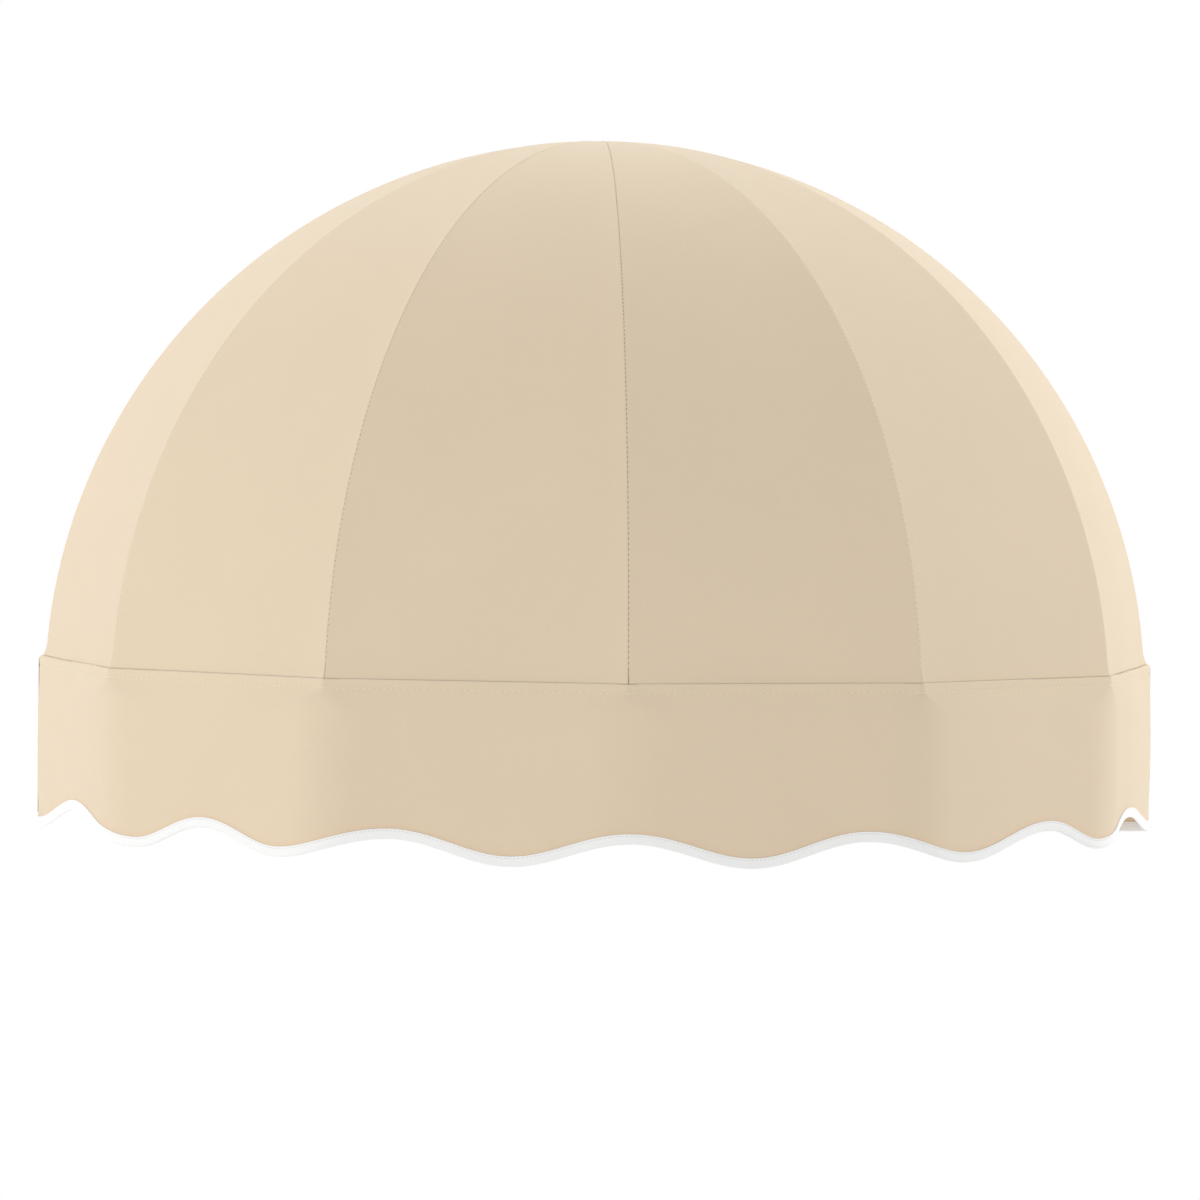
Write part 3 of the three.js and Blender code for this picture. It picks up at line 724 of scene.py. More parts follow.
# Section of a lapped seam, as pairs of distance from the seam and height, both for a seam whose
# lap is 1 mm high. The panel on the left lies on top and ends in a fold at the seam.
SEAM_LEFT = ((9.0, 0), (7.0, 0.04), (5.0, 0.2), (3.5, 0.42), (2.2, 0.6), (1.3, 0.66), (0.7, 0.6),
             (0.35, 0.42), (0.15, 0.0))
SEAM_RIGHT = ((0.05, -0.6), (0.3, -0.62), (0.55, -0.1), (0.9, 0.2), (1.5, 0.16), (2.6, 0.04),
              (9.0, 0))
SEAM_MARGIN = 9.0
STITCH_FROM_SEAM = -0.2
STITCH_LIFT = -0.00018
# How deep each seam is sewn in, from the left.
SEAM_DEPTHS = (0.12, 0.7, 1.2, 0.4, 0.12)
# Painted shade: a seam is painted dark where it lies below this height, and the cover where it
# meets the valance's fold, for the shade that falls in these creases.
DITCH_LIFT = -0.3
SEAM_SHADE = 0.62
FOLD_SHADE = 0.3
# Painted glow: the cover is painted warmer along its rear edge, for light that shines through the
# canvas there.
REAR_GLOW = 0.35
REAR_GLOW_WIDTH = 0.006


class CoverPlan(DomePlan):
    """Columns and rows of the one sheet that covers the dome."""

    INNER_STEPS = 14
    ROW_TURN = math.radians(1.4)
    RIM_ROWS = (0.014, 0.011, 0.0085, 0.0062, 0.0042, 0.0026, 0.0013, 0.0006, 0)
    FOLD_GAP = 0.0001
    REAR_EDGE = (0.15, 1.5, 4.0)
    PANELS_APART = 0.3

    def __init__(self, scene):
        super().__init__(scene)
        dome = scene.awning_dome
        self.slack = dome.slack
        self.lap = dome.lap
        self.valance = scene.awning_valance
        self.start = math.asin(dome.crown_tip / dome.radius)
        self.end = math.acos(dome.rim_height / dome.radius)

    def panel_point(self, middle, polar, lateral, lift):
        """A point of a panel, by its place across the panel and its lift off the flat."""
        distance = self.radius * math.sin(polar) * FLATNESS
        height = self.radius * math.cos(polar)
        out = outward(middle)
        normal = (out * math.sin(polar) + Vector((0, 0, math.cos(polar) * FLATNESS))).normalized()
        across = outward(middle + QUARTER_TURN)
        return self.at(middle, distance, height) + across * lateral + normal * lift, normal

    def half_width(self, polar):
        return self.radius * math.sin(polar) * math.sin(HALF_TURN)

    def seam_scale(self, half):
        """Scale of a seam, which narrows with the panels near the crown."""
        return min(1, half / (SEAM_MARGIN * MM * 1.3))

    def polars(self):
        """Polar angles of the rows, and how far each lies above the lower edge."""
        count = math.ceil((self.end - self.start) / self.ROW_TURN)
        found = [self.start + (self.end - self.start) * i / count for i in range(count)]
        above = [self.radius * (self.end - polar) for polar in found]
        kept = [(p, a) for p, a in zip(found, above) if a > self.RIM_ROWS[0] * 1.2]
        return kept + [(self.end - a / self.radius, a) for a in self.RIM_ROWS]

    def at_fold(self, point, middle, column, lateral, above):
        """The lowest rows turn out and end on top of the valance's fold."""
        if above > self.RIM_ROWS[0]:
            return point
        from_wall = self.flare_distance(column, lateral)
        radius = fold_radius(self.valance, from_wall)
        share = 1 - above / self.RIM_ROWS[0]
        lift = (FOLD_START + radius * 0.8) * share ** 1.6
        raised = (radius + self.canvas / 2 + self.FOLD_GAP) * share
        return point + outward(middle) * lift + Vector((0, 0, raised))

    def flare_distance(self, column, lateral):
        """Distance from the wall along the lower edge."""
        width = 2 * self.half_width(self.end)
        along = (column[0] - (PANELS - 1) / 2) * width + lateral
        return PANELS / 2 * width - abs(along)

    def columns(self):
        """Each column is (panel, how it lies across the panel, mark of the seam)."""
        found = []
        for k in range(PANELS):
            if k > 0:
                found += [(k, "left", near, lift) for near, lift in SEAM_RIGHT[:-1]]
            else:
                found += [(k, "left", near, 0) for near in self.REAR_EDGE]
            for i in range(self.INNER_STEPS + 1):
                found.append((k, "inner", 2 * i / self.INNER_STEPS - 1, 0))
            if k < PANELS - 1:
                found += [(k, "right", near, lift) for near, lift in SEAM_LEFT[1:]]
            else:
                found += [(k, "right", near, 0) for near in reversed(self.REAR_EDGE)]
        return found

    def place(self, column, polar):
        """Lateral place and lift of a column at a polar angle."""
        _, kind, value, lift = column
        half = self.half_width(polar)
        scale = self.seam_scale(half)
        margin = SEAM_MARGIN * MM * scale
        if kind == "inner":
            lateral = value * (half - margin)
            return lateral, -self.slack * (1 - (lateral / half) ** 2) * scale * math.sin(polar)
        side = -1 if kind == "left" else 1
        return side * (half - value * MM * scale), lift * self.lap * scale * self.seam_depth(column)

    def seam_depth(self, column):
        seam = column[0] - (1 if column[1] == "left" else 0)
        return SEAM_DEPTHS[seam] if 0 <= seam < len(SEAM_DEPTHS) else 0


class AWNING_OT_cover(Operator):
    """Sew the canvas cover of the dome in one sheet, with lapped seams"""

    bl_idname = "awning.cover"
    bl_label = "Cover"

    def execute(self, context):
        scene = context.scene
        plan = CoverPlan(scene)
        columns = plan.columns()
        front, back, cloth, warmth, crease = [], [], [], [], []
        for polar, above in plan.polars():
            outer, inner, flat, glowing, dark = [], [], [], [], []
            for column in columns:
                middle = panel_azimuth(column[0])
                lateral, lift = plan.place(column, polar)
                top, normal = plan.panel_point(middle, polar, lateral, lift)
                under = plan.panel_point(middle, polar, lateral, min(lift, 0))[0]
                under -= normal * plan.canvas
                for points, point in ((outer, top), (inner, under)):
                    points.append(plan.at_fold(point, middle, column, lateral, above))
                flat.append((lateral + column[0] * plan.PANELS_APART, plan.radius * polar))
                edge = plan.half_width(polar) - abs(lateral)
                rear = (column[0] == 0 and lateral < 0) or (column[0] == PANELS - 1 and lateral > 0)
                # Painted glow along the rear edge, for light shining through the canvas.
                glowing.append(max(0, 1 - edge / REAR_GLOW_WIDTH) * REAR_GLOW if rear else 0)
                # Painted shade in the sunken part of each seam, and along the row that meets the
                # valance's fold.
                sewn = not rear and column[1] != "inner" and column[3] < DITCH_LIFT
                ditch_shade = plan.seam_depth(column) * SEAM_SHADE if sewn else 0
                dark.append(max(ditch_shade, FOLD_SHADE if above < MM else 0))
            front.append(outer)
            back.append(inner)
            cloth.append(flat)
            warmth.append(glowing)
            crease.append(dark)
        mesh = cloth_mesh("canopy", front, back, cloth, {"warmth": warmth, "crease": crease})
        canopy = add_piece("canopy", mesh, canvas_of(scene), PANEL_NODES)
        threads = seam_stitches(plan, scene)
        width = PANELS * 2 * plan.half_width(plan.end)
        return {"FINISHED"}


def seam_stitches(plan, scene):
    """The row of stitches beside each seam's fold."""
    sewing = scene.awning_sewing
    stitches = []
    count = int(plan.radius * (plan.end - plan.start) / sewing.pitch)
    for k in range(PANELS - 1):
        middle = panel_azimuth(k)
        for i in range(2, count - 3):
            polar = plan.start + (i + 0.5) * sewing.pitch / plan.radius
            half = plan.half_width(polar)
            scale = plan.seam_scale(half)
            lateral = half - STITCH_FROM_SEAM * MM * scale
            centre, normal = plan.panel_point(middle, polar, lateral, STITCH_LIFT)
            ahead, _ = plan.panel_point(middle, polar + 0.001, lateral, STITCH_LIFT)
            along = (ahead - centre).normalized()
            stitches.append((centre, along * sewing.pitch * STITCH_SHARE, normal))
    mesh = stitches_mesh("seam_stitches", stitches, sewing.thread)
    return add_piece("seam_stitches", mesh, canvas_thread_of(scene))


# The wall hem

class AWNING_OT_wall_hem(Operator):
    """Wrap the cover's rear edge over the back of the arch tube"""

    bl_idname = "awning.wall_hem"
    bl_label = "Wall hem"

    ARC_STEPS = 110
    WRAP_STEPS = 14
    WRAP = math.radians(120)
    START_GAP = 0.00015
    END_HEIGHT = 0.006
    ROW_TURN = math.radians(97)
    PRESS = 0.00025
    PRESS_WIDTH = 0.09
    STITCH_SINK = 0.0002

    def execute(self, context):
        scene = context.scene
        plan = DomePlan(scene)
        around = plan.radius - plan.tube_circle - plan.canvas / 2
        start = self.START_GAP / around
        end = math.acos((plan.rim_height + self.END_HEIGHT) / plan.radius)
        front, back, cloth = [], [], []
        for i in range(self.ARC_STEPS + 1):
            polar = end - 2 * end * i / self.ARC_STEPS
            rows = {1: [], -1: []}
            flat = []
            for j in range(self.WRAP_STEPS + 1):
                turn = start + (self.WRAP - start) * j / self.WRAP_STEPS
                press = -self.PRESS * math.exp(-((turn - self.ROW_TURN) / self.PRESS_WIDTH) ** 2)
                for way in (1, -1):
                    radius = around + press + way * plan.canvas / 2
                    point = plan.on_dome(QUARTER_TURN, polar, plan.tube_circle
                                         + radius * math.cos(turn))
                    point.y += radius * math.sin(turn)
                    rows[way].append(point)
                flat.append((plan.tube_circle * polar, around * turn))
            front.append(rows[1])
            back.append(rows[-1])
            cloth.append(flat)
        mesh = cloth_mesh("rear_hem", front, back, cloth)
        hem = add_piece("rear_hem", mesh, canvas_of(scene), ["wall_hem"])
        threads = self.stitch_row(plan, scene, around, end)
        return {"FINISHED"}

    def stitch_row(self, plan, scene, around, end):
        sewing = scene.awning_sewing
        turn = self.ROW_TURN
        radius = around + plan.canvas / 2 - self.STITCH_SINK
        ring = plan.tube_circle + radius * math.cos(turn)
        count = int(2 * end * ring / sewing.pitch)
        stitches = []
        for i in range(count):
            polar = -end + (i + 0.5) * 2 * end / count
            centre = plan.on_dome(QUARTER_TURN, polar, ring)
            ahead = plan.on_dome(QUARTER_TURN, polar + 0.001, ring)
            centre.y += radius * math.sin(turn)
            ahead.y += radius * math.sin(turn)
            reach = (ahead - centre).normalized() * sewing.pitch * STITCH_SHARE
            out = plan.on_dome(QUARTER_TURN, polar, 1) - plan.on_dome(QUARTER_TURN, polar, 0)
            normal = out * math.cos(turn) + Vector((0, math.sin(turn), 0))
            stitches.append((centre, reach, normal))
        mesh = stitches_mesh("rear_hem_stitches", stitches, sewing.thread)
        return add_piece("rear_hem_stitches", mesh, canvas_thread_of(scene))


# Hoop pockets

class AWNING_OT_hoop_pockets(Operator):
    """Sew the sleeves that hold the cover on the hoop tubes"""

    bl_idname = "awning.hoop_pockets"
    bl_label = "Hoop pockets"

    STEPS = 24
    TUBE_STEPS = 20
    TUBE_WRAP = math.radians(-260)
    END_GAP = 0.018
    LAYERS_APART = 0.0011
    ROW_HEIGHT = 0.0185
    PUCKER = 0.00018

    def execute(self, context):
        scene = context.scene
        plan = DomePlan(scene)
        for k, node in enumerate(POCKET_NODES):
            self.pocket(scene, plan, k, node)
        return {"FINISHED"}

    def section(self, plan):
        """The middle line: down the outside, under the tube and back up over it."""
        radius = plan.around_tube + plan.canvas / 2
        outer = plan.rim_distance - plan.hoop_distance - plan.canvas / 2
        line = [(outer, plan.rim_height - 0.0003), (outer + 0.0001, 0.021), (outer, 0.015)]
        line += [(outer + 0.0001, 0.010), (outer + 0.0002, 0.005)]
        for i in range(self.TUBE_STEPS + 1):
            turn = self.TUBE_WRAP * i / self.TUBE_STEPS
            line.append((radius * math.cos(turn), radius * math.sin(turn)))
        line += [(0.0032, 0.0102), (0.0058, 0.0122)]
        return line + [(outer - self.LAYERS_APART, up) for up in (0.0148, 0.0190, 0.0225)]

    def pocket(self, scene, plan, k, node):
        middle = panel_azimuth(k)
        joint_reach = scene.awning_frame.joint_reach
        half = plan.tube_circle * math.sin(HALF_TURN) - joint_reach - self.END_GAP
        across = outward(middle + QUARTER_TURN)
        line = self.section(plan)
        outer_face, inner_face = section_faces(line, plan.canvas)
        front, back, cloth = [], [], []
        run = run_lengths(line)
        for i in range(self.STEPS + 1):
            shift = half * (2 * i / self.STEPS - 1)
            pucker = self.PUCKER * math.sin(shift * 310 + k)
            for rows, face in ((front, outer_face), (back, inner_face)):
                rows.append([plan.at(middle, plan.hoop_distance + offset + pucker * (height < 0),
                                     height) + across * shift for offset, height in face])
            cloth.append([(shift, r) for r in run])
        mesh = cloth_mesh(f"hoop_sleeve_{k + 1}", front, back, cloth)
        sleeve = add_piece(f"hoop_sleeve_{k + 1}", mesh, canvas_of(scene), [node])
        threads = self.stitch_row(scene, plan, middle, half, k)

    def stitch_row(self, scene, plan, middle, half, k):
        sewing = scene.awning_sewing
        across = outward(middle + QUARTER_TURN)
        facing = plan.rim_distance - plan.hoop_distance - plan.canvas
        inside = facing - self.LAYERS_APART - plan.canvas / 2
        count = int(2 * half / sewing.pitch)
        stitches = []
        for i in range(count):
            shift = -half + (i + 0.5) * 2 * half / count
            centre = plan.at(middle, plan.hoop_distance + inside, self.ROW_HEIGHT) + across * shift
            stitches.append((centre, across * sewing.pitch * STITCH_SHARE, -outward(middle)))
        name = f"hoop_sleeve_{k + 1}_stitches"
        mesh = stitches_mesh(name, stitches, sewing.thread)
        return add_piece(name, mesh, canvas_thread_of(scene))


# The valance

class AWNING_OT_valance(Operator):
    """Hang the valance from its sewn fold"""

    bl_idname = "awning.valance"
    bl_label = "Valance"

    DROP_STEPS = 27
    FOLD_STEPS = 9
    LEG_DROPS = (0.0090, 0.0063, 0.0042, 0.0018)
    SEWN_DROPS = (0.0, 0.0018, 0.0036, 0.0048, 0.0056, 0.0063, 0.0070, 0.0078, 0.0092, 0.0115)
    LAYERS_APART = 0.00085
    PRESS = 0.0004
    PRESS_WIDTH = 0.0011
    STITCH_SINK = 0.00032
    # Painted glow just above the binding, for light that shines through the canvas there.
    EDGE_GLOW = 0.3
    EDGE_GLOW_WIDTH = 0.004
    # Painted shade along the fold's crease.
    FOLD_SHADE = 0.15

    def execute(self, context):
        scene = context.scene
        plan = ValancePlan(scene)
        sewing = scene.awning_sewing
        front, back, cloth, warmth, crease = [], [], [], [], []
        for column in range(len(plan.columns)):
            line = self.section(plan, sewing, column)
            faces = section_faces(line, -plan.canvas)
            for rows, face in zip((front, back), faces):
                rows.append([plan.place(column, offset, height) for offset, height in face])
            cloth.append([(plan.reach[column], r) for r in run_lengths(line)])
            glowing, dark = self.marks(plan, column, line)
            warmth.append(glowing)
            crease.append(dark)
        mesh = cloth_mesh("valance_cloth", front, back, cloth, {"warmth": warmth, "crease": crease})
        valance = add_piece("valance_cloth", mesh, canvas_of(scene), ["valance"])
        threads = self.stitch_row(plan, scene)
        return {"FINISHED"}

    def section(self, plan, sewing, column):
        """Middle line of the canvas as (offset, height): inner leg, fold and drop."""
        rim = plan.rim_height
        line = []
        for drop in self.LEG_DROPS:
            outer = self.drop_point(plan, sewing, column, drop)[0] - self.LAYERS_APART
            share = eased(drop / sewing.hem_row)
            line.append((FOLD_START + (outer - FOLD_START) * share, rim - drop))
        radius = fold_radius(plan.sizes, plan.arch_distance - abs(plan.reach[column]))
        for i in range(self.FOLD_STEPS):
            turn = math.pi * (1 - i / self.FOLD_STEPS)
            line.append((FOLD_START + radius + radius * math.cos(turn),
                         rim + radius * math.sin(turn)))
        longest = rim - plan.edge_height(plan.reach[column])
        sewn = self.SEWN_DROPS[-1]
        drops = list(self.SEWN_DROPS)
        drops += [sewn + (longest - sewn) * (i + 1) / self.DROP_STEPS
                  for i in range(self.DROP_STEPS)]
        return line + [self.drop_point(plan, sewing, column, drop) for drop in drops]

    def drop_point(self, plan, sewing, column, drop):
        """A point of the hanging layer, pressed in along the stitch row."""
        height = plan.rim_height - drop
        press = self.PRESS * math.exp(-((drop - sewing.hem_row) / self.PRESS_WIDTH) ** 2)
        return plan.cloth_offset(column, height) - press, height

    def marks(self, plan, column, line):
        """Painted glow and painted shade along the canvas's middle line: a warm glow above the
        binding for light through the canvas, and shade along the fold.
        """
        top = plan.above_binding(column)
        behind = len(self.LEG_DROPS)
        glowing, dark = [], []
        for i, (_, height) in enumerate(line):
            hanging = i > behind + self.FOLD_STEPS
            near = math.exp(-((height - top) / self.EDGE_GLOW_WIDTH) ** 2)
            glowing.append(self.EDGE_GLOW * near if hanging else 0)
            over = (i - behind) / self.FOLD_STEPS
            dark.append(self.FOLD_SHADE if over < 0.5 else 0)
        return glowing, dark

    def stitch_row(self, plan, scene):
        sewing = scene.awning_sewing
        height = plan.rim_height - sewing.hem_row
        first, last = plan.reach[plan.first_front], plan.reach[plan.last_front]
        count = int((last - first) / sewing.pitch)
        stitches = []
        for i in range(count):
            distance = first + (i + 0.5) * (last - first) / count
            column, share = plan.column_at(distance)
            outer = plan.canvas / 2 - self.STITCH_SINK
            ends = [plan.place(c, plan.cloth_offset(c, height) + outer, height)
                    for c in (column, column + 1)]
            along = (ends[1] - ends[0]).normalized()
            normal = along.cross(Vector((0, 0, 1)))
            centre = ends[0].lerp(ends[1], share)
            stitches.append((centre, along * sewing.pitch * STITCH_SHARE, normal))
        mesh = stitches_mesh("valance_stitches", stitches, sewing.thread)
        return add_piece("valance_stitches", mesh, canvas_thread_of(scene))


# Bindings

TAPE_CLEARANCE = 0.0003


class AWNING_OT_edge_binding(Operator):
    """Fold the white tape over the scalloped edge and sew it down"""

    bl_idname = "awning.edge_binding"
    bl_label = "Edge binding"

    FOLD_STEPS = 8
    PITCH = 0.0036
    STITCH_SHARE = 0.74
    THREAD_SHARE = 0.9
    ROW_DROP = 0.0024
    LENGTH_ALLOWANCE = 1.04

    def execute(self, context):
        scene = context.scene
        plan = ValancePlan(scene)
        sizes = plan.sizes
        middle = plan.canvas / 2 + TAPE_CLEARANCE + sizes.tape / 2
        front, back, cloth = [], [], []
        section = self.section(middle, sizes.tape_width)
        faces = section_faces(section, sizes.tape)
        run = run_lengths(section)
        for column in range(len(plan.columns)):
            distance = plan.reach[column]
            for rows, face in zip((front, back), faces):
                rows.append([self.place(plan, column, side, up) for side, up in face])
            cloth.append([(distance, r) for r in run])
        mesh = cloth_mesh("edge_binding", front, back, cloth, sharp=50)
        binding = add_piece("edge_binding", mesh, binding_of(scene),
                            ["valance_binding"])
        threads = self.stitch_rows(plan, scene, middle)
        return {"FINISHED"}

    def section(self, middle, width):
        """Middle line of the folded tape as (side, height above the edge), front leg first."""
        top = width - 0.0008
        leg = [(0.95 * middle, top), (0.84 * middle, top - 0.0009), (0.78 * middle, top - 0.0016),
               (0.86 * middle, top - 0.0024), (1.0 * middle, top - 0.0034),
               (1.1 * middle, top * 0.4), (1.08 * middle, 0.0012)]
        line = list(leg)
        for i in range(1, self.FOLD_STEPS):
            turn = math.pi * i / self.FOLD_STEPS
            line.append((1.05 * middle * math.cos(turn), 0.0004 - 1.05 * middle * math.sin(turn)))
        return line + [(-side, up) for side, up in reversed(leg)]

    def place(self, plan, column, side, up):
        distance = plan.reach[column]
        lowest = plan.edge_height(distance)
        height = lowest + up * plan.edge_stretch(distance)
        offset = plan.cloth_offset(column, max(height, lowest)) + side
        return plan.place(column, offset, height)

    def stitch_rows(self, plan, scene, middle):
        sewing = scene.awning_sewing
        up = plan.sizes.tape_width - self.ROW_DROP
        side = 0.80 * middle + plan.sizes.tape / 2
        total = plan.reach[-1] - plan.reach[0]
        count = int(total / self.PITCH)
        stitches = []
        for way in (1, -1):
            for i in range(1, count - 1):
                distance = plan.reach[0] + (i + 0.5) * total / count
                column, share = plan.column_at(distance)
                ends = [self.place(plan, c, way * side, up) for c in (column, column + 1)]
                along = (ends[1] - ends[0]).normalized()
                normal = along.cross(Vector((0, 0, 1))).normalized() * way
                centre = ends[0].lerp(ends[1], share)
                stitches.append((centre, along * self.PITCH * self.STITCH_SHARE, normal))
        width = sewing.thread * self.THREAD_SHARE
        mesh = stitches_mesh("edge_binding_stitches", stitches, width)
        return add_piece("edge_binding_stitches", mesh, binding_thread_of(scene))


class AWNING_OT_upright_bindings(Operator):
    """Sew the white tapes on the valance's rear ends and corners"""

    bl_idname = "awning.upright_bindings"
    bl_label = "Upright bindings"

    HEIGHT_STEPS = 24
    TOP_GAP = 0.0003
    CORD = 0.0018
    CORD_TURN = math.radians(60)
    CORD_STEPS = 12

    def execute(self, context):
        scene = context.scene
        plan = ValancePlan(scene)
        for name, side in (("left", -1), ("right", 1)):
            self.end_tape(scene, plan, name, side)
            self.corner_strip(scene, plan, name, side)
        return {"FINISHED"}

    def upright(self, plan, bottom, outer, inner):
        """Grids of points, cloth coordinates included, for a strip with a constant plan."""
        top = plan.rim_height - self.TOP_GAP
        front, back, cloth = [], [], []
        run = run_lengths(outer, span)
        for i in range(self.HEIGHT_STEPS + 1):
            height = bottom + (top - bottom) * i / self.HEIGHT_STEPS
            level = plan.hoop_level + height
            front.append([Vector((p.x, p.y, level)) for p in outer])
            back.append([Vector((p.x, p.y, level)) for p in inner])
            cloth.append([(height, r) for r in run])
        return front, back, cloth, top - bottom, run[-1]

    def end_tape(self, scene, plan, name, side):
        sizes = plan.sizes
        middle = plan.canvas / 2 + TAPE_CLEARANCE + sizes.tape / 2
        end = len(plan.columns) - 1 if side == 1 else 0
        bottom = plan.above_binding(end)
        tip = TAPE_CLEARANCE + sizes.tape / 2
        line = [(middle * way, reach) for way, reach in (
            (0.85, sizes.tape - sizes.tape_width), (0.8, 0.0016 - sizes.tape_width),
            (1.0, 0.0035 - sizes.tape_width), (1.05, -0.0020), (1.0, -0.0004))]
        for i in range(1, 6):
            turn = math.pi * i / 6
            line.append((middle * math.cos(turn), tip * math.sin(turn)))
        line += [(-a, b) for a, b in reversed(line[:5])]
        faces = section_faces([(b, a) for a, b in line], sizes.tape)
        placed = [[plan.run_point(side, 1 + b / sizes.wall_run, sizes.standoff + a)
                   for b, a in face] for face in faces]
        front, back, cloth, tall, wide = self.upright(plan, bottom, *placed)
        mesh = cloth_mesh(f"end_tape_{name}", front, back, cloth, sharp=50)
        tape = add_piece(f"end_tape_{name}", mesh, binding_of(scene),
                         [f"end_binding_{name}"])

    def corner_strip(self, scene, plan, name, side):
        sizes = plan.sizes
        inner_reach = plan.canvas / 2 + TAPE_CLEARANCE
        corner = plan.last_front + 1 if side == 1 else plan.first_front - 1
        bottom = max(plan.above_binding(corner + side * i) for i in range(-1, plan.REAR_STEPS - 1))
        base = sizes.standoff + inner_reach
        outer, inner = [], []
        for i in range(self.CORD_STEPS + 1):
            share = i / self.CORD_STEPS
            swell = 0.35 + 0.65 * math.sin(math.pi * share) ** 0.6
            turn = self.CORD_TURN * share
            outer.append(plan.wall_point(side, turn, base + self.CORD * swell))
            inner.append(plan.wall_point(side, turn, base))
        front, back, cloth, tall, wide = self.upright(plan, bottom, outer, inner)
        mesh = cloth_mesh(f"corner_strip_{name}", front, back, cloth, sharp=50)
        strip = add_piece(f"corner_strip_{name}", mesh, binding_of(scene),
                          [f"corner_binding_{name}"])


# Tubes and castings

class AWNING_OT_tubes(Operator):
    """Bend the arch and the ribs and cut the hoop tubes"""

    bl_idname = "awning.tubes"
    bl_label = "Tubes"

    def execute(self, context):
        scene = context.scene
        plan = DomePlan(scene)
        tubes = scene.awning_frame
        coat = shared_finish("powder_coated_tube", lambda: tube_finish(scene.awning_colours))
        runs = {}
        for k, node in enumerate(RIB_NODES):
            runs[node] = self.arc(plan, corner_azimuth(k + 1), plan.hub_polar, plan.foot_polar)
        runs["wall_arch"] = self.arc(plan, QUARTER_TURN, -plan.foot_polar, plan.foot_polar)
        for k, node in enumerate(HOOP_NODES):
            start = plan.at(corner_azimuth(k), plan.tube_circle, 0)
            end = plan.at(corner_azimuth(k + 1), plan.tube_circle, 0)
            gap = (end - start).normalized() * tubes.joint_reach
            runs[node] = [start + gap, end - gap]
        for node, path in runs.items():
            mesh = tube_mesh(f"{node}_tube", path, tubes.tube_radius, tubes.tube_wall)
            add_piece(f"{node}_tube", mesh, coat, [node])
        return {"FINISHED"}

    def arc(self, plan, azimuth, start, end):
        steps = math.ceil((end - start) / math.radians(2))
        return [plan.on_dome(azimuth, start + (end - start) * i / steps, plan.tube_circle)
                for i in range(steps + 1)]


class AWNING_OT_castings(Operator):
    """Give the rib feet, brackets and hub rounded edges and their cast finish"""

    bl_idname = "awning.castings"
    bl_label = "Castings"

    EDGE_WIDTH = 0.0006
    EDGE_ANGLE = math.radians(35)

    def execute(self, context):
        cast = shared_finish(
            "cast_aluminium", lambda: casting_finish(context.scene.awning_colours))
        for node in CASTING_NODES:
            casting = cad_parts[node]
            casting.data.materials.clear()
            casting.data.materials.append(cast)
            edges = casting.modifiers.new("rounded_edges", "BEVEL")
            edges.width = self.EDGE_WIDTH
            edges.segments = 2
            edges.limit_method = "ANGLE"
            edges.angle_limit = self.EDGE_ANGLE
        return {"FINISHED"}


# Stage

FILM_WIDTH = 0.036
PHOTO_WIDTH = 1200
OPTICAL_CENTRE = (599.5, 469.9)
FITTED_POINT = Vector((0, -0.017, -0.24344))
LAMP_AIM = Vector((0, -0.2, -0.35))
# Each lamp's side, place and size.
LAMPS = (
    ("left", (-2.4, 0.2, 0.0), (0.8, 1.8)),
    ("right", (2.25, 0.75, 0.1), (0.8, 1.8)),
    ("top", (0, 1.3, 1.7), (2.2, 1.2)),
    ("front", (-2.0, -3.2, -0.4), (1.2, 1.8)),
)
FLOOR_RADIUS = 9
# Distances on the floor between which it fades to white.
FADE_START = 1.6
FADE_END = 4.5


